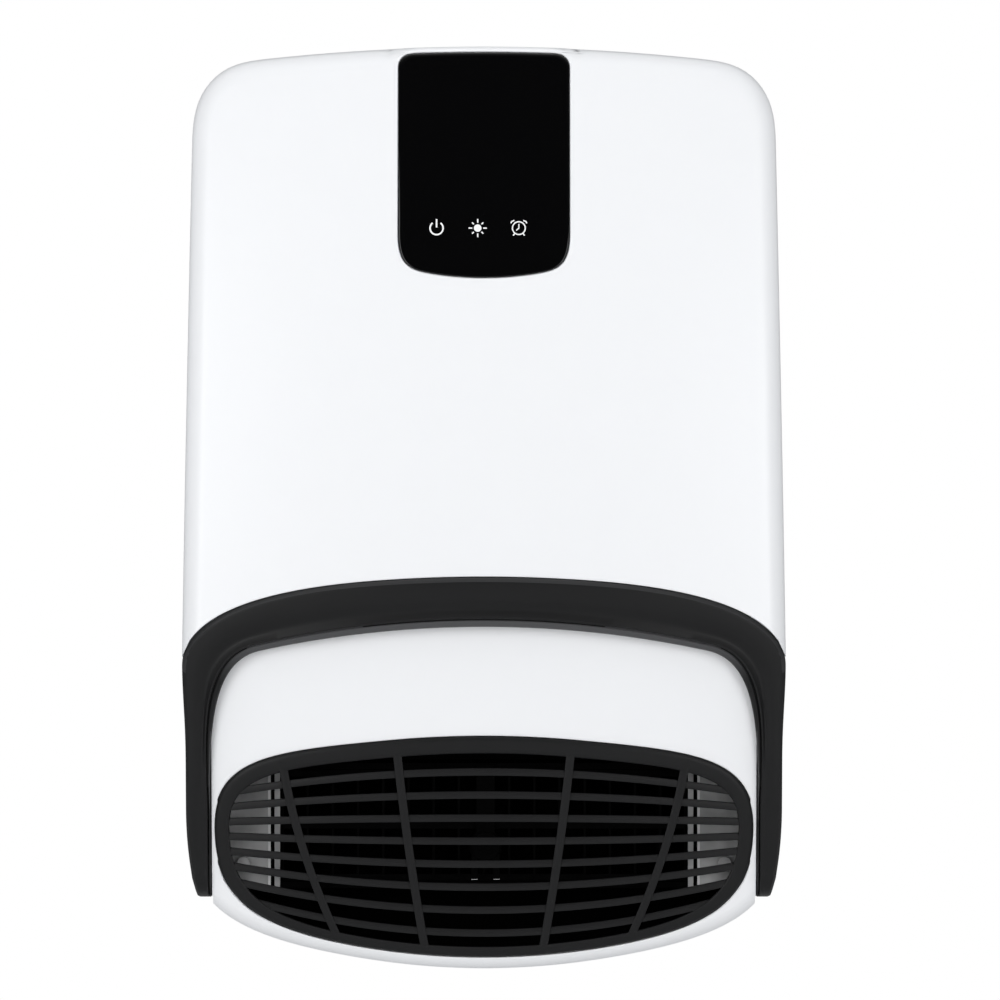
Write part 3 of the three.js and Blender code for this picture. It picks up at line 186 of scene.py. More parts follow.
def smooth_step(value: np.ndarray, low: float, high: float) -> np.ndarray:
    """0 below one value and 1 above another, with a smooth rise between them."""
    t = np.clip((value - low) / (high - low), 0, 1)
    return t * t * (3 - 2 * t)


def rounded(distance: np.ndarray, radius: float) -> np.ndarray:
    """How far a rounded edge falls back at a distance from the outline."""
    d = np.clip(distance, 0, radius)
    return radius - np.sqrt(np.maximum(0, radius**2 - (radius - d) ** 2))


# ------------------------------------------------------------------ the shape of the heater
@dataclass(frozen=True)
class Form:
    """Sizes that the shells, the rail and the grille share."""

    body_top: Edge = Edge(160.3, 958, 107.4, 132.6, 122.5, (0.61, 0.58))
    body_bottom: Edge = Edge(-258.5, 336, 48.7, 135.2, -189.7, (0.9, 0.68))
    hip: tuple[float, float] = (136.7, -123.0)
    rail_top: Edge = Edge(-80.3, 653, 50.5, 137.6, -124, (0.65, 0.69))
    rail_inner: Edge = Edge(-102.7, 474, 100.9, 124.1, -174.6, (0.8, 0.64))
    grille_top: Edge = Edge(-152.4, 457, 42.8, 122.4, -194, (0.68, 0.98))
    grille_bottom: Edge = Edge(-253, 334, 58.9, 122.4, -194, (0.76, 0.72))
    panel_top: Edge = Edge(157.6, 958, 32, 38.75, 150.6, (0.6, 0.6))
    panel_bottom: Edge = Edge(54.9, 145, 21.8, 38.75, 74.9, (0.65, 0.96))
    cover_depth_top: float = 88
    cover_depth_arch: float = 126
    cover_sink: float = 1.5  # how far the cover stays behind the rail's face at the arch
    housing_depth_bottom: float = 80
    skin_curve: float = 1.7
    front_crown: float = 14
    cover_edge: float = 9
    housing_edge: float = 6
    shell_back: float = 50
    line_gap: float = 0.6
    rail_thickness: float = 12
    rail_back_gap: float = 1.6
    arm_thickness: float = 24
    arm_proud: float = 4
    pivot_z: float = -214
    body_steps: int = 640
    body_ease: int = 9  # steps on each side over which the body's corners are eased

    def body_half(self) -> Front:
        """Right half of the body, from the top centre to the bottom centre."""
        top, bottom = self.body_top.half(), self.body_bottom.half()[::-1]
        below_hip = (self.body_bottom.side_x, 1.25 * self.hip[1])
        rough = np.concatenate([top, [self.hip, below_hip], bottom])
        return eased(spread(rough, self.body_steps), self.body_ease)

    def crown(self, x: np.ndarray) -> np.ndarray:
        """How far the front falls back towards the sides."""
        return self.front_crown * (x / self.hip[0]) ** 2

    def cover_depth(self, z: np.ndarray) -> np.ndarray:
        """Depth of the cover's skin on the centre line."""
        low = self.rail_top.crown_z
        rise = np.maximum(0, z - low) / (self.body_top.crown_z - low)
        arch = self.cover_depth_arch - self.cover_sink
        return arch - (arch - self.cover_depth_top) * rise**self.skin_curve

    def housing_depth(self, z: np.ndarray) -> np.ndarray:
        """Depth of the outlet housing's skin on the centre line."""
        high = self.rail_top.crown_z
        top = self.cover_depth_arch - self.rail_thickness - self.rail_back_gap
        fall = np.maximum(0, high - z) / (high - self.body_bottom.crown_z)
        return top - (top - self.housing_depth_bottom) * fall**self.skin_curve

    def grille_outline(self, top_rim: float = 0, bottom_rim: float = 0, side_rim: float = 0) -> Front:
        """The grille's outline, or the inside of its rim."""
        top = self.grille_top.moved(-top_rim, -side_rim).half()
        bottom = self.grille_bottom.moved(bottom_rim, -side_rim).half()[::-1]
        return closed(np.concatenate([top, bottom[1:]]))


FORM = Form()
BODY_HALF = FORM.body_half()
BODY = closed(BODY_HALF)


# ------------------------------------------------------------------ the workbench
class Cut(Enum):
    """What a boolean modifier does with its tool."""

    JOIN = "UNION"
    REMOVE = "DIFFERENCE"
    KEEP = "INTERSECT"


class Bench:
    """Modelling steps, each done with Blender's own operators."""

    @staticmethod
    def clear() -> None:
        """Leaves nothing selected."""
        if bpy.context.object and bpy.context.object.mode != "OBJECT":
            bpy.ops.object.mode_set(mode="OBJECT")
        bpy.ops.object.select_all(action="DESELECT")

    @staticmethod
    def pick(piece: bpy.types.Object) -> None:
        """Makes one piece the active and only selected one."""
        Bench.clear()
        piece.select_set(True)
        bpy.context.view_layer.objects.active = piece

    @staticmethod
    def settle(piece: bpy.types.Object) -> None:
        """Puts a piece's place, turn and size into its mesh."""
        Bench.pick(piece)
        bpy.ops.object.transform_apply(location=True, rotation=True, scale=True)

    @staticmethod
    def loft(name: str, rings: Sequence[np.ndarray], loop: bool = False) -> bpy.types.Object:
        """Draws a circle out ring by ring.

        Args:
            name: The piece's name.
            rings: Rings of (x, depth, z) with equal counts.
            loop: Whether the last ring meets the first. Otherwise both ends are filled.

        Returns:
            The piece, closed, with its faces pointing outwards.
        """
        made = [points * AS_METRES for points in rings]
        count = len(made[0])
        Bench.clear()
        bpy.ops.mesh.primitive_circle_add(vertices=count, radius=1, fill_type="NOTHING" if loop else "NGON")
        piece = bpy.context.object
        piece.name = piece.data.name = name
        bpy.ops.object.mode_set(mode="EDIT")
        bpy.ops.mesh.select_mode(type="EDGE")
        mesh = bmesh.from_edit_mesh(piece.data)
        current = list(mesh.verts)
        for vert, place in zip(current, made[0]):
            vert.co = place
        for places in made[1:]:
            for part in (mesh.verts, mesh.edges, mesh.faces):
                for item in part:
                    item.select = False
            mesh.select_flush(False)
            number = {vert.index: k for k, vert in enumerate(current)}
            for k, vert in enumerate(current):
                edge = mesh.edges.get((vert, current[(k + 1) % count]))
                edge.select_set(True)
            bmesh.update_edit_mesh(piece.data)
            bpy.ops.mesh.extrude_edges_move()
            mesh = bmesh.from_edit_mesh(piece.data)
            mesh.verts.ensure_lookup_table()
            mesh.verts.index_update()
            following: list[bmesh.types.BMVert | None] = [None] * count
            for vert in [v for v in mesh.verts if v.select]:
                for edge in vert.link_edges:
                    k = number.get(edge.other_vert(vert).index)
                    if k is not None:
                        following[k] = vert
                        vert.co = places[k]
            current = following
        if loop:
            mesh.verts.ensure_lookup_table()
            first = [mesh.verts[k] for k in range(count)]
            for k in range(count):
                j = (k + 1) % count
                mesh.faces.new((first[k], first[j], current[j], current[k]))
        else:
            mesh.faces.new(current)
        bpy.ops.mesh.select_mode(type="VERT")
        bpy.ops.mesh.select_all(action="SELECT")
        bpy.ops.mesh.remove_doubles(threshold=WELD)
        bpy.ops.mesh.normals_make_consistent(inside=False)
        bpy.ops.object.mode_set(mode="OBJECT")
        return piece

    @staticmethod
    def prism(name: str, outline: Front, from_depth: float, to_depth: float) -> bpy.types.Object:
        """A straight prism over a front-view outline."""
        rings = [np.insert(outline, 1, depth, axis=1) for depth in (from_depth, to_depth)]
        return Bench.loft(name, rings)

    @staticmethod
    def side_prism(name: str, profile: Front, from_x: float, to_x: float) -> bpy.types.Object:
        """A straight prism over a side-view profile of (depth, z)."""
        rings = [np.insert(profile, 0, x, axis=1) for x in (from_x, to_x)]
        return Bench.loft(name, rings)

    @staticmethod
    def block(name: str, low: Sequence[float], high: Sequence[float], soft: float = 0) -> bpy.types.Object:
        """A block between two corners of (x, depth, z).

        Args:
            name: The piece's name.
            low: One corner, in millimetres.
            high: The other corner.
            soft: Width of the bevel on every edge, in millimetres.

        Returns:
            The block.
        """
        a, b = (np.array(corner) * AS_METRES for corner in (low, high))
        Bench.clear()
        bpy.ops.mesh.primitive_cube_add(size=1, location=tuple((a + b) / 2), scale=tuple(np.abs(b - a)))
        piece = bpy.context.object
        piece.name = piece.data.name = name
        Bench.settle(piece)
        if soft:
            Bench.soften(piece, soft)
        return piece

    @staticmethod
    def bar(
        name: str, radius: float, start: Sequence[float], end: Sequence[float], sides: int = 48
    ) -> bpy.types.Object:
        """A round bar between two points of (x, depth, z) on a line along one axis.

        Args:
            name: The piece's name.
            radius: Its radius, in millimetres.
            start: Middle of one end.
            end: Middle of the other end.
            sides: How many faces go round it.

        Returns:
            The bar.
        """
        a, b = (np.array(p, float) * AS_METRES for p in (start, end))
        along = b - a
        turn = (0, math.pi / 2, 0) if abs(along[0]) > abs(along[1]) else (math.pi / 2, 0, 0)
        length, middle = float(np.linalg.norm(along)), tuple((a + b) / 2)
        Bench.clear()
        bpy.ops.mesh.primitive_cylinder_add(
            vertices=sides, radius=radius * MM, depth=length, location=middle, rotation=turn
        )
        piece = bpy.context.object
        piece.name = piece.data.name = name
        Bench.settle(piece)
        return piece

    @staticmethod
    def modify(piece: bpy.types.Object, kind: str, settings: dict[str, object]) -> None:
        """Adds a modifier with its settings, and applies it."""
        change = piece.modifiers.new("change", kind)
        for key, value in settings.items():
            setattr(change, key, value)
        Bench.pick(piece)
        bpy.ops.object.modifier_apply(modifier=change.name)

    @staticmethod
    def combine(piece: bpy.types.Object, tool: bpy.types.Object, way: Cut) -> bpy.types.Object:
        """Joins, removes or keeps what a tool covers, and uses the tool up."""
        Bench.modify(piece, "BOOLEAN", {"object": tool, "operation": way.value, "solver": "MANIFOLD"})
        bpy.data.objects.remove(tool, do_unlink=True)
        return piece

    @staticmethod
    def soften(piece: bpy.types.Object, width: float) -> None:
        """Bevels every sharp edge by a width in millimetres."""
        limit = {"limit_method": "ANGLE", "angle_limit": math.radians(SHARP)}
        Bench.modify(piece, "BEVEL", {"width": width * MM, "segments": 2, "harden_normals": False, **limit})

    @staticmethod
    def smooth(piece: bpy.types.Object, angle: float = 35) -> None:
        """Shades smooth across edges flatter than an angle."""
        Bench.pick(piece)
        bpy.ops.object.shade_smooth_by_angle(angle=math.radians(angle))

    @staticmethod
    def flatten(piece: bpy.types.Object) -> None:
        """Shades large faces flat and leaves the turn to the narrow faces between them."""
        Bench.modify(piece, "WEIGHTED_NORMAL", {"mode": "FACE_AREA", "weight": 50, "keep_sharp": True})

    @staticmethod
    def score(piece: bpy.types.Object, places: Sequence[float]) -> None:
        """Cuts a piece's faces along upright planes, so that they can take two finishes; nothing is taken off."""
        Bench.pick(piece)
        bpy.ops.object.mode_set(mode="EDIT")
        for x in places:
            bpy.ops.mesh.select_all(action="SELECT")
            bpy.ops.mesh.bisect(plane_co=(x * MM, 0, 0), plane_no=(1, 0, 0))
        bpy.ops.object.mode_set(mode="OBJECT")

    @staticmethod
    def softened(node: str, width: float) -> bpy.types.Object:
        """A copy of a CAD node with its edges bevelled by a width in millimetres."""
        piece = bpy.data.objects.new(f"{node}_soft", frame["nodes"][node].data.copy())
        piece.data.name = piece.name
        bpy.context.collection.objects.link(piece)
        Bench.pick(piece)
        bpy.ops.object.mode_set(mode="EDIT")
        bpy.ops.mesh.select_all(action="SELECT")
        bpy.ops.mesh.remove_doubles(threshold=WELD)
        bpy.ops.mesh.dissolve_limited(angle_limit=math.radians(FLAT))
        bpy.ops.object.mode_set(mode="OBJECT")
        Bench.soften(piece, width)
        Bench.smooth(piece, 35)
        Bench.flatten(piece)
        return piece

    @staticmethod
    def outward(piece: bpy.types.Object) -> None:
        """Points every face of a closed piece outwards."""
        Bench.pick(piece)
        bpy.ops.object.mode_set(mode="EDIT")
        bpy.ops.mesh.select_all(action="SELECT")
        bpy.ops.mesh.normals_make_consistent(inside=False)
        bpy.ops.object.mode_set(mode="OBJECT")

    @staticmethod
    def unite(name: str, pieces: Sequence[bpy.types.Object]) -> bpy.types.Object:
        """Joins pieces into one object."""
        Bench.pick(pieces[0])
        for other in pieces[1:]:
            other.select_set(True)
        bpy.ops.object.join()
        pieces[0].name = pieces[0].data.name = name
        return pieces[0]


# ------------------------------------------------------------------ finishes
class Value:
    """A shader value that works in a Python expression."""

    def __init__(self, tree: bpy.types.NodeTree, socket: bpy.types.NodeSocket) -> None:
        """Wraps a socket of a node tree."""
        self.tree = tree
        self.socket = socket

    def _with(self, operation: str, first: "Value | float", second: "Value | float") -> "Value":
        """Adds the Math node of one operation."""
        node = self.tree.nodes.new("ShaderNodeMath")
        node.operation = operation
        for slot, value in zip(node.inputs, (first, second)):
            if isinstance(value, Value):
                self.tree.links.new(value.socket, slot)
            else:
                slot.default_value = value
        return Value(self.tree, node.outputs[0])

    def __add__(self, other: "Value | float") -> "Value":
        """Sum."""
        return self._with("ADD", self, other)

    def __radd__(self, other: float) -> "Value":
        """Sum."""
        return self._with("ADD", other, self)

    def __sub__(self, other: "Value | float") -> "Value":
        """Difference."""
        return self._with("SUBTRACT", self, other)

    def __rsub__(self, other: float) -> "Value":
        """Difference."""
        return self._with("SUBTRACT", other, self)

    def __mul__(self, other: "Value | float") -> "Value":
        """Product."""
        return self._with("MULTIPLY", self, other)

    def __rmul__(self, other: float) -> "Value":
        """Product."""
        return self._with("MULTIPLY", other, self)


class Shade:
    """One material's nodes."""

    def __init__(self, name: str) -> None:
        """Makes an empty material with its shader and output."""
        self.material = bpy.data.materials.new(name)
        self.material.use_nodes = True
        self.tree = self.material.node_tree
        self.tree.nodes.clear()
        self.shader = self.tree.nodes.new("ShaderNodeBsdfPrincipled")
        out = self.tree.nodes.new("ShaderNodeOutputMaterial")
        self.tree.links.new(self.shader.outputs[0], out.inputs[0])

    def node(self, kind: str, settings: dict[str, object], inputs: dict[str, object]) -> bpy.types.Node:
        """Adds any node.

        Args:
            kind: The node's type.
            settings: Its own settings, set first.
            inputs: Values or links of its sockets.

        Returns:
            The node.
        """
        made = self.tree.nodes.new(kind)
        for key, value in settings.items():
            setattr(made, key, value)
        for key, value in inputs.items():
            self.feed(made.inputs[key], value)
        return made

    def feed(self, socket: bpy.types.NodeSocket, value: object) -> None:
        """Links a socket, or sets its value."""
        if isinstance(value, Value):
            self.tree.links.new(value.socket, socket)
        elif isinstance(value, bpy.types.NodeSocket):
            self.tree.links.new(value, socket)
        else:
            socket.default_value = value

    def noise(self, scale: float, stretch: tuple[float, float, float] = (1, 1, 1), detail: float = 3) -> Value:
        """Noise on Object coordinates, from 0 to 1."""
        place = self.node("ShaderNodeTexCoord", {}, {}).outputs["Object"]
        mapped = self.node("ShaderNodeMapping", {}, {"Vector": place, "Scale": stretch}).outputs[0]
        made = self.node("ShaderNodeTexNoise", {}, {"Vector": mapped, "Scale": scale, "Detail": detail})
        return Value(self.tree, made.outputs["Fac"])

    def height(self, bottom: float, top: float) -> Value:
        """0 below one height of the object's own frame, in metres, and 1 above another."""
        place = self.node("ShaderNodeTexCoord", {}, {}).outputs["Object"]
        parts = self.node("ShaderNodeSeparateXYZ", {}, {0: place})
        limits = {"From Min": bottom, "From Max": top, "Value": parts.outputs["Z"]}
        made = self.node("ShaderNodeMapRange", {"interpolation_type": "SMOOTHSTEP"}, limits)
        return Value(self.tree, made.outputs[0])

    def mix(self, share: Value, low: object, high: object) -> bpy.types.NodeSocket:
        """A colour between two colours."""
        made = self.node("ShaderNodeMix", {"data_type": "RGBA"}, {})
        self.feed(made.inputs[0], share)
        self.feed(made.inputs[6], low)
        self.feed(made.inputs[7], high)
        return made.outputs[2]


@dataclass(frozen=True)
class Finish:
    """A surface: its colour, how it scatters light, and its grain."""

    name: str
    slot: str
    colour: tuple[float, float, float]
    roughness: float
    metallic: float = 0.0
    specular: float = 0.5
    mottle: float = 0.03  # share by which the colour varies
    mottle_scale: float = 60.0
    spread: float = 0.05  # how far the roughness varies
    grain_scale: float = 2600.0
    grain_height: float = 0.000004
    stretch: tuple[float, float, float] = (1.0, 1.0, 1.0)
    fade: tuple[float, float, tuple[float, float, float]] | None = None  # heights in metres, and the lower colour

    def material(self) -> bpy.types.Material:
        """The finish as a material."""
        shade = Shade(self.name)
        drift = shade.noise(self.mottle_scale, self.stretch)
        fine = shade.noise(self.grain_scale, self.stretch, 2)
        low = tuple(c * (1 - self.mottle) for c in self.colour) + (1.0,)
        high = tuple(min(1.0, c * (1 + self.mottle)) for c in self.colour) + (1.0,)
        feed = shade.shader.inputs
        colour = shade.mix(drift, low, high)
        if self.fade:
            bottom, top, other = self.fade
            colour = shade.mix(shade.height(bottom, top), (*other, 1.0), colour)
        shade.feed(feed["Base Color"], colour)
        shade.feed(feed["Roughness"], self.roughness + (drift - 0.5) * self.spread + (fine - 0.5) * self.spread)
        feed["Metallic"].default_value = self.metallic
        feed["Specular IOR Level"].default_value = self.specular
        bump = shade.node("ShaderNodeBump", {}, {"Height": fine, "Distance": self.grain_height, "Strength": 1.0})
        shade.feed(feed["Normal"], bump.outputs[0])
        return shade.material


class Finishes:
    """Every finish of the heater, each made once."""

    WHITE = Finish("white_moulding", "white_plastic", (0.868, 0.872, 0.885), 0.30, mottle=0.006, specular=0.4)
    DARK = Finish(
        "anthracite_moulding", "dark_plastic", ANTHRACITE, 0.42,
        specular=0.22, mottle=0.08, grain_scale=3400, grain_height=0.000008,
    )
    # A lighter band on the rail's inner lip: a painted reflection of the white housing beneath it, fading into plain
    # anthracite towards the arms.
    LIP_PAINTED_REFLECTION = Finish(
        "anthracite_lip_painted_reflection", "dark_plastic", (0.075, 0.075, 0.078), 0.5,
        specular=0.2, mottle=0.05, fade=(-0.13, -0.108, ANTHRACITE),
    )
    # A lighter band on the rail's top chamfer and on the arms' inner edges: a painted highlight of light from above and
    # beside.
    CHAMFER_PAINTED_HIGHLIGHT = Finish("anthracite_chamfer_painted_highlight", "dark_plastic", (0.026, 0.026, 0.027), 0.45, specular=0.3, mottle=0.05)
    GLASS = Finish(
        "black_panel_glass", "black_glass", (0.0012, 0.0012, 0.0014), 0.035,
        specular=0.4, mottle=0.1, spread=0.01, grain_scale=300, grain_height=0.0,
    )
    SIGN = Finish("white_sign_ink", "white_plastic", (0.9, 0.9, 0.9), 0.5, specular=0.2, mottle=0.01)
    BLACK = Finish("black_moulding", "black_plastic", (0.011, 0.011, 0.011), 0.55, specular=0.25, mottle=0.1)
    STEEL = Finish(
        "zinc_plated_steel", "steel", (0.42, 0.43, 0.44), 0.42,
        metallic=1.0, mottle=0.18, mottle_scale=90, spread=0.16, stretch=(1, 1, 0.3),
    )
    SHAFT = Finish(
        "ground_steel", "steel", (0.5, 0.5, 0.51), 0.25,
        metallic=1.0, mottle=0.08, spread=0.1, stretch=(0.1, 1, 1),
    )
    ALUMINIUM = Finish("plain_aluminium", "aluminium", (0.6, 0.61, 0.62), 0.38, metallic=1.0, mottle=0.1, spread=0.12)
    # Near-black fins with almost no reflection: a dark coating, darkened further as painted shade for the unlit inside
    # of the outlet.
    FINS_PAINTED_SHADE = Finish("dark_fins_painted_shade", "aluminium", (0.0015, 0.0015, 0.0015), 0.7, specular=0.04, mottle=0.2)
    # Near-black with almost no reflection: painted shade on the inner faces of the housing and the casing, on the
    # plates inside their folds and on the parts deep inside; those parts are partly their own black colour, partly
    # painted shade.
    SHADE_BLACK = Finish("black_and_painted_shade", "black_plastic", (0.0015, 0.0015, 0.0015), 0.8, specular=0.04, mottle=0.2)
    DULL = Finish(
        "dull_galvanised_sheet", "steel", (0.48, 0.48, 0.48), 0.45,
        specular=0.5, mottle=0.75, mottle_scale=55, spread=0.2,
    )
    # A bright band on the plates' fold and on the cut-out's blade tips: a painted glint.
    FOLD_PAINTED_GLINT = Finish("painted_glint_steel", "steel", (0.9, 0.9, 0.9), 0.35, specular=1.0, mottle=0.2)
    BOARD = Finish("green_solder_mask", "circuit_board", (0.012, 0.09, 0.035), 0.35, mottle=0.25, mottle_scale=500)
    RUBBER = Finish(
        "black_rubber", "rubber", (0.014, 0.014, 0.014), 0.8,
        specular=0.3, mottle=0.15, grain_height=0.00002,
    )
    CREAM = Finish("cream_moulding", "cream_plastic", (0.55, 0.5, 0.38), 0.5, mottle=0.06)

    _made: dict[str, bpy.types.Material] = {}

    @classmethod
    def material_of(cls, finish: Finish) -> bpy.types.Material:
        """A finish's material, made when it is first asked for."""
        if finish.name not in cls._made:
            cls._made[finish.name] = finish.material()
        return cls._made[finish.name]

    @classmethod
    def dress(cls, piece: bpy.types.Object, finish: Finish) -> None:
        """Gives a piece its finish in place of any that it has."""
        piece.data.materials.clear()
        piece.data.materials.append(cls.material_of(finish))

    @classmethod
    def second(cls, piece: bpy.types.Object, finish: Finish, chosen: Callable[[np.ndarray], np.ndarray]) -> None:
        """Gives some of a piece's faces another finish.

        Args:
            piece: The piece, which has its first finish already.
            finish: The second finish.
            chosen: Says from the faces' middles, as (x, depth, z) in millimetres, which faces it takes.
        """
        piece.data.materials.append(cls.material_of(finish))
        middles = np.array([face.center[:] for face in piece.data.polygons]) / AS_METRES
        slot = len(piece.data.materials) - 1
        for face, take in zip(piece.data.polygons, chosen(middles)):
            if take:
                face.material_index = slot

    @classmethod
    def finished(
        cls, piece: bpy.types.Object, finish: Finish, body: str, replaced: Sequence[str] = ()
    ) -> bpy.types.Object:
        """Dresses a new piece and ties it to a body.

        Args:
            piece: The piece.
            finish: Its finish.
            body: The body that it moves with.
            replaced: CAD nodes that it stands for.

        Returns:
            The piece.
        """
        cls.dress(piece, finish)
        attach(piece, body)
        if replaced:
            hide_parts(*replaced)
        log.info("%s: %d faces, %s", piece.name, len(piece.data.polygons), finish.name)
        return piece


# ------------------------------------------------------------------ shells
def ring(points: Front, depth: np.ndarray | float) -> np.ndarray:
    """A ring of (x, depth, z)."""
    return np.stack([points[:, 0], np.broadcast_to(depth, len(points)), points[:, 1]], 1)


@dataclass(frozen=True)
class Shell:
    """A moulded front with a curved skin, a rounded outer edge, an opening and a wall."""

    name: str
    outer: Front  # clockwise, from the top or bottom centre
    on_body: np.ndarray  # which of its points lie on the body's outline
    opening: Front
    skin: Skin
    edge: float
    wall: float
    step_back: Skin  # depth to which the cut edge runs back
    inner: Front  # the outer line, set in by the wall
    cut_line: Front
    ease: Skin = lambda points: np.ones(len(points))  # 0 where the outer edge isn't rounded

    def fall(self, points: Front) -> np.ndarray:
        """How far the skin falls back near the outline and near the cut edge."""
        soft = 0.5
        own = rounded(distance_to(self.cut_line, points, False), soft)
        return own + rounded(distance_to(BODY, points), self.edge) * self.ease(points)

    @property
    def back(self) -> np.ndarray:
        """Depth to which the outer wall runs back, at each point of the outline."""
        return np.where(self.on_body, FORM.shell_back, self.step_back(self.outer))

    def lining(self, points: Front) -> np.ndarray:
        """Depth of the shell's inner face."""
        fall = rounded(distance_to(inset(BODY, self.wall), points), max(1, self.edge - self.wall))
        return self.skin(points) - self.wall - fall

    def front_rings(self, steps: int, bevel: float, skin: Skin) -> list[np.ndarray]:
        """Rings over the shell's front.

        Args:
            steps: How many steps lie between the outer edge and the opening.
            bevel: Width of the rounding round the opening.
            skin: Depth of the front next to the opening.

        Returns:
            The rings, from the back of the outer wall to the opening.
        """
        rings = [ring(self.outer, self.back)]
        rim = inset(self.opening, -bevel)
        for share in np.linspace(0, 1, steps)[:-1] ** 1.9:
            points = self.outer + (rim - self.outer) * share
            rings.append(ring(points, self.skin(points) - self.fall(points)))
        for turn in (0, 30, 60, 90):
            angle = math.radians(turn)
            points = inset(self.opening, -bevel * (1 - math.sin(angle)))
            rings.append(ring(points, skin(points) - bevel * (1 - math.cos(angle))))
        return rings

    def build(self) -> bpy.types.Object:
        """The shell as one closed piece, over its front and back along its inner side."""
        rings = self.front_rings(46, 0.5, lambda points: self.skin(points) - self.fall(points))
        rings.append(ring(self.opening, self.lining(self.opening)))
        for share in np.linspace(1, 0, 24)[1:]:
            points = self.inner + (self.opening - self.inner) * share**1.7
            rings.append(ring(points, self.lining(points)))
        rings.append(ring(self.inner, self.back))
        return Bench.loft(self.name, rings, loop=True)


def arch_line(gap: float, reach: float, count: int) -> Front:
    """Right half of the line where the rail begins, from the centre to where it meets the side.

    Args:
        gap: How far the line is moved up.
        reach: How far inside the body's outline it ends.
        count: Steps along it.

    Returns:
        The points of the line.
    """
    line = spread(FORM.rail_top.half(), 3000) + (0, gap)
    side = BODY_HALF[(BODY_HALF[:, 0] > FORM.body_bottom.break_x)]
    width = np.interp(-line[:, 1], -side[:, 1], side[:, 0])
    inside = line[line[:, 0] <= width - reach]
    return gathered(inside, count, 2.1)


def trim_corners(piece: bpy.types.Object) -> None:
    """Takes off a shell's lower corners, flush with the arms' inner sides, below the arms' tips."""
    below = FORM.pivot_z - FORM.arm_thickness / 2 + 0.2
    for side in (1, -1):
        near, far = sorted((side * (FORM.rail_inner.side_x - 0.9), side * 150))
        Bench.combine(piece, Bench.block("corner", (near, -5, -250), (far, 150, below)), Cut.REMOVE)


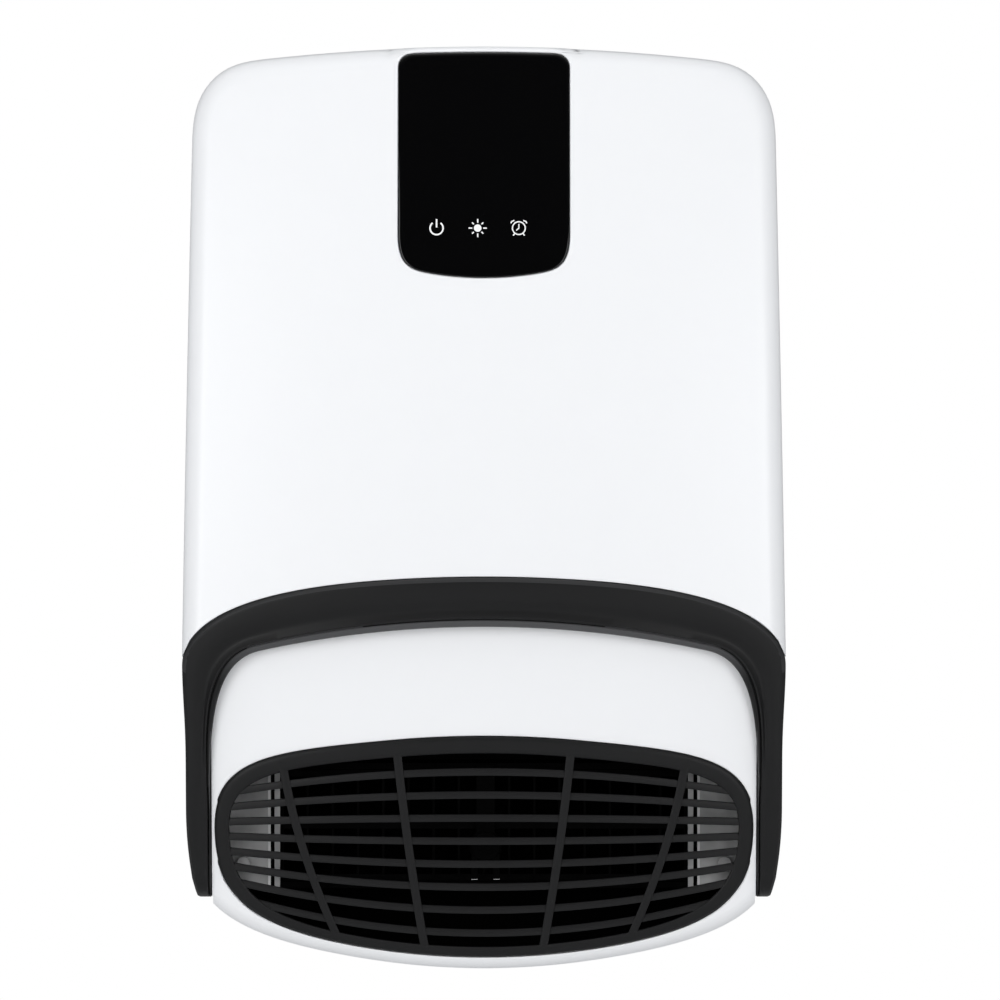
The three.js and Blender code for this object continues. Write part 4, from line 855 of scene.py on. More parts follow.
# ------------------------------------------------------------------ the front cover and its panel
@dataclass
class FrontCover:
    """The white cover with its glass touch panel and signs."""

    wall: float = 3
    panel_thickness: float = 1.6
    panel_proud: float = 0.3
    panel_gap: float = 0.3
    ledge: float = 4
    ledge_gap: float = 0.3  # between the panel's back and the ledge
    ledge_wall: float = 0.6
    clear: tuple[float, float] = (0.6, 7.0)  # from the panel, where the cover's rounded edge starts and is full
    panel_bevel: float = 0.8
    panel_spine: tuple[float, float] = (88, 132)  # heights between which the panel's faces meet
    panel_edge: tuple[tuple[float, float], ...] = ((0.06, 0.42), (0.16, 0.28), (0.32, 0.14), (0.55, 0.04))
    key_z: float = 77.4
    key_x: dict[str, float] = field(default_factory=lambda: {"power": -21.4, "heat": -2.8, "timer": 15.8})
    sign_height: float = 0.035  # how far the print stands over the glass
    sign_root: float = 0.05  # and how far it reaches into it
    half_count: int = 210
    arch_count: int = 80

    def skin(self, points: Front) -> np.ndarray:
        """Depth of the cover's front before its edges fall away."""
        return FORM.cover_depth(points[:, 1]) - FORM.crown(points[:, 0])

    def ease(self, points: Front) -> np.ndarray:
        """0 on the panel and 1 away from it: the cover's rounded edge stays clear of the flat panel."""
        panel = self.panel_outline
        x, z = points[:, 0], points[:, 1]
        half = FORM.panel_top.side_x
        over = (np.abs(x) < half - 2) & (z > FORM.panel_bottom.side_z) & (z < FORM.panel_top.side_z + 2)
        away = np.where(over, 0, distance_to(panel, points))
        return smooth_step(away, *self.clear)

    def full_skin(self, points: Front) -> np.ndarray:
        """Depth of the cover's front with its rounded edge."""
        return self.skin(points) - rounded(distance_to(BODY, points), FORM.cover_edge) * self.ease(points)

    @property
    def panel_outline(self) -> Front:
        """The panel's outline."""
        top, bottom = FORM.panel_top.half(8, 14), FORM.panel_bottom.half(8, 14)
        return closed(np.concatenate([top, bottom[::-1]]))

    def panel_half(self, out: float) -> Front:
        """Right half of the panel from its bottom centre to its top centre, moved outwards."""
        top, bottom = FORM.panel_top.half(), FORM.panel_bottom.half()
        whole = closed(np.concatenate([top, bottom[::-1]]))
        moved = inset(whole, -out)[: len(top) + len(bottom)]
        moved[0, 0] = moved[-1, 0] = 0
        return spread(moved[::-1], self.half_count)

    def outer_half(self, set_in: float, gap: float) -> tuple[Front, np.ndarray]:
        """Right half of the cover's outline, from the arch's centre to the top centre."""
        low = arch_line(gap, set_in, self.arch_count)
        body = BODY_HALF if set_in == 0 else inset(BODY, set_in)[: len(BODY_HALF)]
        side = body[body[:, 1] > low[-1, 1] + STITCH]
        side[0, 0] = 0
        rise = gathered(side, self.half_count - self.arch_count - 1, 1.25)[::-1]
        rise[0] = (rise[0, 0], low[-1, 1] + STITCH)
        return np.concatenate([low, rise]), np.arange(self.half_count + 1) > self.arch_count

    def build(self) -> None:
        """Makes the cover, the panel and the signs."""
        outer, on_body = self.outer_half(0, FORM.line_gap / 2)
        inner, _ = self.outer_half(self.wall, FORM.line_gap / 2 + self.wall)
        opening = self.panel_half(self.panel_gap)
        window = self.panel_half(-self.ledge)
        turned = [closed(half[::-1]) for half in (outer, inner, opening, window)]
        marks = np.concatenate([on_body[::-1], on_body[1:-1]])
        line = arch_line(FORM.line_gap / 2, 0, 120)
        shell = Shell(
            "front_cover_shell", turned[0], marks, turned[2], self.skin, FORM.cover_edge, self.wall,
            lambda p: FORM.housing_depth(p[:, 1]) - FORM.crown(p[:, 0]) + 0.4,
            turned[1], np.concatenate([line[:0:-1] * (-1, 1), line]), self.ease,
        )
        piece = self.recessed(shell, turned[3])
        Bench.smooth(piece, 40)
        Finishes.finished(piece, Finishes.WHITE, "case", ["front_cover"])
        self.panel()

    def recessed(self, shell: Shell, window: Front) -> bpy.types.Object:
        """The cover with a ledge round its window, which carries the panel."""
        floor = self.panel_thickness - self.panel_proud + self.ledge_gap
        rings = shell.front_rings(52, 0.35, self.full_skin)
        rings.append(ring(shell.opening, self.full_skin(shell.opening) - floor))
        rings.append(ring(window, self.full_skin(window) - floor))
        for share in np.linspace(1, 0, 26):
            points = shell.inner + (window - shell.inner) * share**1.7
            under = self.full_skin(points) - floor - self.ledge_wall
            rings.append(ring(points, np.minimum(shell.lining(points), under)))
        rings.append(ring(shell.inner, shell.back))
        return Bench.loft(shell.name, rings, loop=True)

    def panel(self) -> None:
        """The black glass panel with its bevelled edge, and the signs on it."""
        outline = closed(self.panel_half(0)[::-1])
        spine = np.stack([np.zeros(len(outline)), np.clip(outline[:, 1], *self.panel_spine)], 1)
        bevel = self.panel_bevel

        def face(points: Front) -> np.ndarray:
            """Depth of the panel's face."""
            return self.skin(points) + self.panel_proud

        rings = []
        for share in np.linspace(1, 0, 14):
            points = spine + (inset(outline, bevel) - spine) * share
            rings.insert(0, ring(points, face(points) - self.panel_thickness))
        rings.append(ring(outline, face(outline) - self.panel_thickness + 0.1))
        rings.append(ring(outline, face(outline) - 0.55))
        for way, back in (*self.panel_edge, (bevel, 0)):
            rings.append(ring(inset(outline, way), face(inset(outline, way)) - back))
        for share in np.linspace(1, 0, 24)[1:]:
            points = spine + (inset(outline, bevel) - spine) * share
            rings.append(ring(points, face(points)))
        piece = Bench.loft("touch_panel_glass", rings, loop=False)
        Bench.smooth(piece, 20)
        Finishes.finished(piece, Finishes.GLASS, "case", ["touch_panel"])
        self.signs()

    def lay(self, piece: bpy.types.Object, at: tuple[float, float]) -> None:
        """Lays a flat piece, modelled round the origin in x and z, on the panel."""
        flat = np.array([v.co[:] for v in piece.data.vertices]) / MM
        points = flat[:, [0, 2]] + at
        depth = self.skin(points) + self.panel_proud - flat[:, 1]
        for vert, (x, z), d in zip(piece.data.vertices, points, depth):
            vert.co = (x * MM, -d * MM, z * MM)

    def stroke(self, line: Sequence[tuple[float, float]], width: float, loop: bool = False) -> bpy.types.Object:
        """A flat printed line, round at its corners."""
        path = np.array(line, float)
        ahead = np.roll(path, -1, 0) - path
        behind = path - np.roll(path, 1, 0)
        if not loop:
            ahead[-1], behind[0] = behind[-1], ahead[0]
        ahead /= np.hypot(*ahead.T)[:, None]
        behind /= np.hypot(*behind.T)[:, None]
        along = ahead + behind
        along /= np.hypot(*along.T)[:, None]
        side = np.stack([-along[:, 1], along[:, 0]], 1) * width / 2
        side /= np.maximum(0.6, (along * ahead).sum(1))[:, None]
        corners = ((1, self.sign_height), (1, -self.sign_root), (-1, -self.sign_root), (-1, self.sign_height))
        lines = [ring(path + side * way, depth) for way, depth in corners]
        return Bench.loft("sign_stroke", list(np.stack(lines, 1)), loop=loop)

    def dot(self, radius: float) -> bpy.types.Object:
        """A flat printed disc."""
        return Bench.bar("sign_dot", radius, (0, -self.sign_root, 0), (0, self.sign_height, 0), 40)

    @staticmethod
    def arc(radius: float, start: float, end: float, count: int) -> list[tuple[float, float]]:
        """Points on an arc round the origin, by angles in degrees, clockwise from the top."""
        angles = np.radians(np.linspace(start, end, count))
        return [(radius * math.sin(angle), radius * math.cos(angle)) for angle in angles]

    def signs(self) -> None:
        """Power, heat and timer signs, printed in white."""
        power = [self.stroke(self.arc(2.95, 38, 322, 44), 0.7), self.stroke([(0, 0.3), (0, 4.1)], 0.7)]
        heat = [self.dot(1.7)]
        for k in range(8):
            (sx, sz), = self.arc(1, 45 * k, 45 * k, 1)
            near, far = 2.45, 4.1 if k % 2 == 0 else 3.6
            heat.append(self.stroke([(near * sx, near * sz), (far * sx, far * sz)], 0.6))
        timer = [self.stroke(self.arc(2.9, 0, 360, 49)[:-1], 0.55, loop=True)]
        timer.append(self.stroke([(0, 1.9), (0, 0), (-1.2, -1.1)], 0.5))
        for way in (-1, 1):
            timer.append(self.stroke([(way * 3.6, 2.2), (way * 3.2, 3.0), (way * 2.0, 3.5)], 0.55))
            timer.append(self.stroke([(way * 1.9, -2.5), (way * 2.6, -3.4)], 0.6))
        for key, strokes in (("power", power), ("heat", heat), ("timer", timer)):
            sign = Bench.unite(f"sign_{key}", strokes)
            self.lay(sign, (self.key_x[key], self.key_z))
            Finishes.finished(sign, Finishes.SIGN, "case")


# ------------------------------------------------------------------ the outlet
@dataclass
class Outlet:
    """The white outlet housing and its dark grille."""

    wall: float = 2.6
    boss_radius: float = 5.5
    pin_hole: float = 2.8
    half_count: int = 190
    arch_count: int = 80
    grille_proud: float = 1
    grille_depth: float = 6
    rim_side: float = 6.8
    rim_top: float = 7.7
    rim_bottom: float = 4.6
    slat_count: int = 8
    slat_height: float = 3.4
    slat_set_back: float = 0.8
    bar_width: float = 3.9
    bars: tuple[tuple[float, float, float], ...] = ((93, 12, 18.7), (40, 9.5, 4.4))  # start, lean and bend of each pair
    seat: float = 2.6  # how far inside the outline slats and bars end, within the rim

    def skin(self, points: Front) -> np.ndarray:
        """Depth of the housing's front before its edges fall away."""
        return FORM.housing_depth(points[:, 1]) - FORM.crown(points[:, 0])

    def grille_half(self, out: float) -> Front:
        """Right half of the grille's outline from its top centre to its bottom centre, moved outwards."""
        whole = FORM.grille_outline()
        half = inset(whole, -out)[: len(whole) // 2 + 1]
        half[0, 0] = half[-1, 0] = 0
        return spread(half, self.half_count)

    def outer_half(self, set_in: float, gap: float) -> Front:
        """Right half of the housing's outline, from the arch's centre to the bottom centre."""
        high = arch_line(gap, set_in, self.arch_count)
        body = BODY_HALF if set_in == 0 else inset(BODY, set_in)[: len(BODY_HALF)]
        side = body[body[:, 1] < high[-1, 1] - STITCH]
        side[-1, 0] = 0
        fall = spread(side, self.half_count - self.arch_count - 1)
        fall[0] = (fall[0, 0], high[-1, 1] - STITCH)
        return np.concatenate([high, fall])

    def build(self) -> None:
        """Makes the housing and the grille."""
        outer = closed(self.outer_half(0, -FORM.line_gap / 2))
        inner = closed(self.outer_half(self.wall, -FORM.line_gap / 2 - self.wall))
        marks = np.arange(self.half_count + 1) > self.arch_count
        marks = np.concatenate([marks, marks[1:-1][::-1]])
        opening = closed(self.grille_half(FORM.line_gap / 2))
        line = arch_line(-FORM.line_gap / 2, 0, 120)
        shell = Shell(
            "outlet_housing_shell", outer, marks, opening, self.skin, FORM.housing_edge, self.wall,
            lambda p: self.skin(p) - self.wall, inner, np.concatenate([line[:0:-1] * (-1, 1), line]),
        )
        housing = shell.build()
        self.pockets(housing)
        trim_corners(housing)
        Bench.smooth(housing, 35)
        Finishes.finished(housing, Finishes.WHITE, "case", ["outlet_housing"])

        def within(middles: np.ndarray) -> np.ndarray:
            """Whether a face lies inside, away from the outer walls."""
            front = middles[:, [0, 2]]
            deep = middles[:, 1] < self.skin(front) - 1.6
            return deep & (np.abs(front[:, 0]) < 121) & (distance_to(BODY[::4], front) > 2.2)

        # The inner faces are painted near-black: painted shade, so that the outlet looks dark inside.
        Finishes.second(housing, Finishes.SHADE_BLACK, within)
        self.grille()

    def pockets(self, housing: bpy.types.Object) -> None:
        """Cuts the pockets for the rail's arms, lined inside the housing."""
        rail = TowelRail()
        solid = self.filled()
        for side in (1, -1):
            lining = rail.arm_room(FORM.line_gap + self.wall, rail.pocket_x - self.wall, 150, side)
            Bench.combine(lining, self.copy_of(solid), Cut.KEEP)
            Bench.combine(housing, lining, Cut.JOIN)
            boss = rail.pin_bar(self.boss_radius, rail.pocket_x - 4, rail.pocket_x - 1, side)
            Bench.combine(housing, boss, Cut.JOIN)
            Bench.combine(housing, rail.arm_room(FORM.line_gap, rail.pocket_x, 160, side), Cut.REMOVE)
            hole = rail.pin_bar(self.pin_hole, rail.pocket_x - 20, rail.pocket_x + 5, side)
            Bench.combine(housing, hole, Cut.REMOVE)
        bpy.data.objects.remove(solid, do_unlink=True)

    def filled(self) -> bpy.types.Object:
        """The room inside the housing's outer skin, as a full solid."""
        outline = closed(spread(BODY_HALF, 150))
        spine = np.stack([np.zeros(len(outline)), np.clip(outline[:, 1], -170, 60)], 1)
        edge = FORM.housing_edge - 0.02
        rings = [ring(inset(outline, 0.02), FORM.shell_back + 0.02)]
        for turn in np.linspace(0, 90, 9):
            angle = math.radians(turn)
            points = inset(outline, 0.02 + edge * (1 - math.cos(angle)))
            rings.append(ring(points, self.skin(points) - 0.02 - edge * (1 - math.sin(angle))))
        core = inset(outline, 0.02 + edge)
        for share in np.linspace(0, 0.98, 14)[1:]:
            points = core + (spine - core) * share
            rings.append(ring(points, self.skin(points) - 0.02))
        return Bench.loft("housing_room", rings)

    @staticmethod
    def copy_of(piece: bpy.types.Object) -> bpy.types.Object:
        """A copy with its own mesh."""
        twin = piece.copy()
        twin.data = piece.data.copy()
        bpy.context.collection.objects.link(twin)
        return twin

    def face(self, points: Front) -> np.ndarray:
        """Depth of the grille's face."""
        return self.skin(points) + self.grille_proud

    def grille(self) -> None:
        """The egg-shaped grille: a bowed rim, arched slats and leaning bars."""
        outer = FORM.grille_outline()
        inner = FORM.grille_outline(self.rim_top, self.rim_bottom, self.rim_side)
        section = (
            (0.0, self.grille_depth), (0.0, 1.3), (0.03, 0.75), (0.1, 0.35), (0.2, 0.08), (0.35, 0.0), (0.7, 0.0),
            (0.88, 0.12), (0.96, 0.45), (1.0, 0.95), (1.0, self.grille_depth),
        )
        rings = []
        for share, set_back in section:
            points = outer + (inner - outer) * share
            rings.append(ring(points, self.face(points) - set_back))
        whole = Bench.loft("outlet_grille_moulding", rings, loop=True)
        for index in range(self.slat_count):
            Bench.combine(whole, self.slat(index), Cut.JOIN)
        for top_x, lean, bend in self.bars:
            for side in (1, -1):
                Bench.combine(whole, self.upright(top_x, lean, bend, side), Cut.JOIN)
        Bench.smooth(whole, 32)
        Finishes.finished(whole, Finishes.DARK, "case", ["outlet_grille"])

    def strip(self, centre: Front, across: Front, width: float, front: float, back: float) -> bpy.types.Object:
        """A bent strip with rounded front corners that follows the grille's face.

        Args:
            centre: Its line in front view.
            across: The direction of its width at each point.
            width: Its width.
            front: How far its front is set back.
            back: How far its back is set back.

        Returns:
            The strip.
        """
        soft = 0.4
        half = width / 2
        section = (
            (-half, back), (-half, front + soft), (-half + 0.3 * soft, front + 0.3 * soft), (-half + soft, front),
            (half - soft, front), (half - 0.3 * soft, front + 0.3 * soft), (half, front + soft), (half, back),
        )
        sides = [centre + across * place for place, _ in section]
        depths = [self.face(centre) - set_back for _, set_back in section]
        rings = [
            np.array([(sides[k][i][0], depths[k][i], sides[k][i][1]) for k in range(len(section))])
            for i in range(len(centre))
        ]
        return Bench.loft("strip", rings)

    def kept(self, line: Front) -> Front:
        """The stretch of a line inside the rim's middle, spread evenly."""
        rim = inset(FORM.grille_outline(), self.seat)
        middle = FORM.grille_top.side_z
        inside = []
        for x, z in line:
            upper = np.interp(abs(x), rim[:200, 0][rim[:200, 1] >= middle], rim[:200, 1][rim[:200, 1] >= middle])
            low_half = rim[:202][rim[:202, 1] <= middle][::-1]
            lower = np.interp(abs(x), low_half[:, 0], low_half[:, 1])
            inside.append(abs(x) < FORM.grille_top.side_x - self.seat and lower < z < upper)
        return spread(line[np.array(inside)], 60)

    def slat(self, index: int) -> bpy.types.Object:
        """One slat. Slats arch upwards at the top of the grille and sag towards its bottom."""
        highest = FORM.grille_top.crown_z - self.rim_top
        pitch = (highest - FORM.grille_bottom.crown_z - self.rim_bottom) / (self.slat_count + 0.4)
        middle = highest - pitch * (index + 0.8)
        bow = 5 - 2 * index
        xs = np.linspace(-FORM.grille_top.side_x, FORM.grille_top.side_x, 800)
        line = self.kept(np.stack([xs, middle - bow * (xs / 83.7) ** 2], 1))
        across = np.tile((0.0, 1.0), (len(line), 1))
        return self.strip(line, across, self.slat_height, self.slat_set_back, self.grille_depth - 0.5)

    def upright(self, top_x: float, lean: float, bend: float, side: int) -> bpy.types.Object:
        """One upright bar, which leans towards the centre on its way down."""
        highest = FORM.grille_top.crown_z
        t = np.linspace(0, 1, 600)
        xs = side * (top_x - lean * t - bend * t * t)
        line = self.kept(np.stack([xs, highest - (highest - FORM.grille_bottom.crown_z) * t], 1))
        across = np.tile((1.0, 0.0), (len(line), 1))
        return self.strip(line, across, self.bar_width, 0.15, self.grille_depth - 0.2)


# ------------------------------------------------------------------ the towel rail
@dataclass
class TowelRail:
    """The dark arch with its two arms, which turn on pins in the outlet housing."""

    stations: int = 150
    pin_hole: float = 2.8
    pin_grip: float = 5.3
    face_depth: float = 3.8  # faces nearer to the front than this may take a painted highlight or a painted reflection
    # Reach of the painted highlight on the outer chamfer.
    chamfer_highlight_reach: float = 2.0
    # Reach and lowest height of the painted reflection on the inner lip.
    lip_reflection_reach: float = 3.2
    lip_reflection_above: float = -128
    # Reach and highest height of the painted highlight on the arms' inner edges.
    edge_highlight_reach: float = 0.75
    edge_highlight_below: float = -150
    lip_end: int = 24  # place of the inner edge among a section's points
    taper: tuple[tuple[float, float], ...] = (
        (135.2, -190), (134.7, -200), (133.9, -208), (132.6, -217), (131.0, -223), (130.2, -225.3), (128.8, -226)
    )  # outer edge of an arm towards its tip

    @property
    def arm_inner(self) -> float:
        """Half the distance between the arms."""
        return FORM.rail_inner.side_x

    @property
    def arm_x(self) -> float:
        """Middle of an arm."""
        return (self.arm_inner + FORM.body_bottom.side_x) / 2

    @property
    def pocket_x(self) -> float:
        """Inner side of the pocket."""
        return self.arm_inner - FORM.line_gap

    @property
    def pivot_depth(self) -> float:
        """Depth of the hinge line."""
        z = np.array([FORM.pivot_z])
        return float(self.depth(z)[0] - FORM.crown(np.array([self.arm_x]))[0] - FORM.arm_thickness / 2)

    def outer_x(self, z: np.ndarray) -> np.ndarray:
        """Outer edge of an arm below its taper's start."""
        line = np.array(self.taper)
        return np.interp(-z, -line[:, 1], line[:, 0])

    @staticmethod
    def along(z: np.ndarray) -> np.ndarray:
        """0 where the rail begins and 1 at its pivots."""
        high = FORM.rail_top.crown_z
        return np.clip((high - z) / (high - FORM.pivot_z), 0, 1)

    def depth(self, z: np.ndarray) -> np.ndarray:
        """Depth of the rail's front on the centre line."""
        over = FORM.rail_thickness + FORM.rail_back_gap - FORM.arm_proud
        return FORM.housing_depth(z) + FORM.arm_proud + over * (1 - self.along(z)) ** 2

    def thickness(self, z: np.ndarray) -> np.ndarray:
        """Front to back over the pockets."""
        over_housing = self.depth(z) - FORM.housing_depth(z) - FORM.rail_back_gap
        return over_housing + (FORM.arm_thickness - over_housing) * smooth_step(self.along(z), 0.2, 1)

    def crown(self, x: np.ndarray, z: np.ndarray) -> np.ndarray:
        """The arch follows the crown, and the arms turn flat towards their pivots."""
        flat = smooth_step(self.along(z), 0.5, 0.9)
        own = FORM.crown(x)
        return own + (FORM.crown(np.array([self.arm_x]))[0] - own) * flat

    def arm_room(self, gap: float, from_x: float, to_x: float, side: int) -> bpy.types.Object:
        """The room an arm and its round tip take, widened by a gap and open to the front."""
        top = FORM.hip[1] + 40
        radius = FORM.arm_thickness / 2 + gap
        z = np.linspace(top, FORM.pivot_z, 42)[1:-1]
        front = self.depth(z) - self.crown(np.full_like(z, FORM.hip[0]), z)
        backs = np.stack([front - self.thickness(z) - gap, z], 1)
        turn = np.radians(np.linspace(0, 90, 25))
        tip = np.stack([self.pivot_depth - radius * np.cos(turn), FORM.pivot_z - radius * np.sin(turn)], 1)
        profile = np.concatenate([backs, tip, [(200, FORM.pivot_z - radius), (200, top)]])
        band = Bench.side_prism("room", profile, side * from_x, side * to_x)
        Bench.outward(band)
        return Bench.combine(band, self.pin_bar(radius, from_x, to_x, side, 96), Cut.JOIN)

    def pin_bar(self, radius: float, from_x: float, to_x: float, side: int, sides: int = 48) -> bpy.types.Object:
        """A round bar on the hinge line, on one side."""
        start, end = ((side * x, self.pivot_depth, FORM.pivot_z) for x in (from_x, to_x))
        return Bench.bar("pin", radius, start, end, sides)

    def section(self, outer: np.ndarray, inner: np.ndarray, tip: float | None) -> np.ndarray:
        """One section of the rail, from its outer edge over its front to its back.

        Args:
            outer: Point on the outer edge.
            inner: Point on the inner edge.
            tip: Thickness on the round tip, or None above the pivots.

        Returns:
            The section's points.
        """
        width = float(np.hypot(*(outer - inner)))
        slim = float(smooth_step(self.along(np.array([outer[1]])), 0.3, 0.8)[0])
        chamfer, lip = 2.3 - 1.1 * slim, 3.3 - 2.5 * slim
        cove = 1.5 * (1 - slim)
        soft = 1.0 if tip is None else min(1.0, tip / FORM.arm_thickness * 1.5)

        def front(point: np.ndarray) -> float:
            """Depth of the rail's front at a point."""
            if tip is not None:
                return self.pivot_depth + tip / 2
            z = point[1:2]
            return float(self.depth(z)[0] - self.crown(point[:1], z)[0])

        def facing(from_outer: float, set_back: float) -> tuple[float, float, float]:
            """A point of the front, by its distance from the outer edge and how far it is set back."""
            point = outer + (inner - outer) * from_outer / width
            return (point[0], front(point) - set_back * soft, point[1])

        def deep(point: np.ndarray) -> tuple[float, float, float]:
            """A point of the back, over the pockets."""
            full = float(self.thickness(point[1:2])[0]) if tip is None else tip
            return (point[0], front(point) - full, point[1])

        def shallow(point: np.ndarray) -> tuple[float, float, float]:
            """A point of the back, over the housing."""
            z = point[1:2]
            depth = float(FORM.housing_depth(z)[0] - FORM.crown(point[:1])[0]) + FORM.rail_back_gap
            return (point[0], depth, point[1])

        share = np.clip((outer[0] - self.arm_inner) / max(1e-6, outer[0] - inner[0]), 0, 1)
        step = outer + (inner - outer) * share
        over_pocket = outer[0] > self.arm_inner
        on_arm = inner[0] > self.arm_inner - 0.1
        groove = lip + 0.35
        inner_edge = width - groove
        face = [
            (0.0, 1.9), (0.12, 1.45), (0.3, 1.25), (chamfer * 0.5, 0.85), (chamfer - 0.2, 0.2), (chamfer + 0.1, 0.08),
            (chamfer + 0.6, 0.0), (0.3 * width, -0.1), (0.44 * width, -0.05),
            (0.52 * width, 0.35 * cove), (0.59 * width, 0.85 * cove), (0.65 * width, cove), (0.7 * width, 0.8 * cove),
            (inner_edge - 0.9, -0.2), (inner_edge - 0.4, -0.2), (inner_edge - 0.1, 0.1),
            (inner_edge, 0.9), (inner_edge + 0.05, 2.3), (width - lip + 0.3, 2.3), (width - lip + 0.35, 1.45),
            (width - 0.75 * lip, 1.15), (width - 0.4 * lip, 1.6), (width - 0.2 * lip, 2.1),
            (width - 0.12, 2.6 + 0.3 * (1 - slim)), (width, 3.1 + 0.3 * (1 - slim)),
        ]
        points = [facing(a, b) for a, b in sorted(face, key=lambda pair: pair[0])]
        low = deep(step)
        if on_arm:
            middle = tuple((np.array(points[-1]) + low) / 2)
            points += [middle, middle]
        else:
            points += [shallow(inner), shallow(step)]
        points.append(low if over_pocket else shallow(step))
        points.append(deep(outer) if over_pocket else shallow(outer))
        return np.array(points)

    def rings(self) -> list[np.ndarray]:
        """Sections of the right half, from the arch's centre to the arm's tip."""
        arch = arch_line(0, 0.2, 400)
        below = BODY_HALF[(BODY_HALF[:, 0] > self.arm_inner) & (BODY_HALF[:, 1] < arch[-1, 1] - 1)]
        flank = below[below[:, 1] > self.taper[0][1] + 1]
        heights = np.linspace(self.taper[0][1], FORM.pivot_z, 30)
        arm = np.stack([self.outer_x(heights), heights], 1)
        rough = spread(np.concatenate([arch, flank, arm]), 900)
        outer = spread(eased(rough, 14), self.stations)
        inner = spread(np.concatenate([FORM.rail_inner.half(), [(self.arm_inner, FORM.pivot_z)]]), self.stations)
        outer[0, 0] = 0
        made = [self.section(a, b, None) for a, b in zip(outer, inner)]
        radius = FORM.arm_thickness / 2
        for turn in np.radians(np.linspace(0, 84, 19)[1:]):
            z = FORM.pivot_z - radius * math.sin(turn)
            x = float(self.outer_x(np.array([z]))[0])
            made.append(self.section(np.array([x, z]), np.array([self.arm_inner, z]), 2 * radius * math.cos(turn)))
        return made

    def build(self) -> None:
        """Makes the rail with its pin holes."""
        right = self.rings()
        left = [r * (-1, 1, 1) for r in right[:0:-1]]
        rail = Bench.loft("towel_rail_moulding", left + right)
        for side in (1, -1):
            hole = self.pin_bar(self.pin_hole, self.arm_inner - 5, self.arm_inner + self.pin_grip, side)
            Bench.combine(rail, hole, Cut.REMOVE)
        Bench.smooth(rail, 30)
        Finishes.finished(rail, Finishes.DARK, "rail", ["towel_rail"])
        outer = np.array([r[0, [0, 2]] for r in right])
        inner = np.array([r[self.lip_end, [0, 2]] for r in right])

        def near(middles: np.ndarray, line: Front, reach: float) -> np.ndarray:
            """Whether a face lies on the front, within reach of a line."""
            front = np.abs(middles[:, [0, 2]] * (1, 0)) + middles[:, [0, 2]] * (0, 1)
            proud = middles[:, 1] > self.depth(front[:, 1]) - self.crown(front[:, 0], front[:, 1]) - self.face_depth
            return proud & (distance_to(line[::3], front, False) < reach)

        # Painted highlight of light from above on the outer chamfer.
        edge = Finishes.CHAMFER_PAINTED_HIGHLIGHT
        Finishes.second(rail, edge, lambda m: near(m, outer, self.chamfer_highlight_reach) & (m[:, 2] > FORM.hip[1]))
        # Painted reflection of the white housing on the inner lip.
        Finishes.second(rail, Finishes.LIP_PAINTED_REFLECTION, lambda m: near(m, inner, self.lip_reflection_reach) & (m[:, 2] > self.lip_reflection_above))
        # Painted highlight on the arms' inner edges.
        Finishes.second(rail, edge, lambda m: near(m, inner, self.edge_highlight_reach) & (m[:, 2] < self.edge_highlight_below))


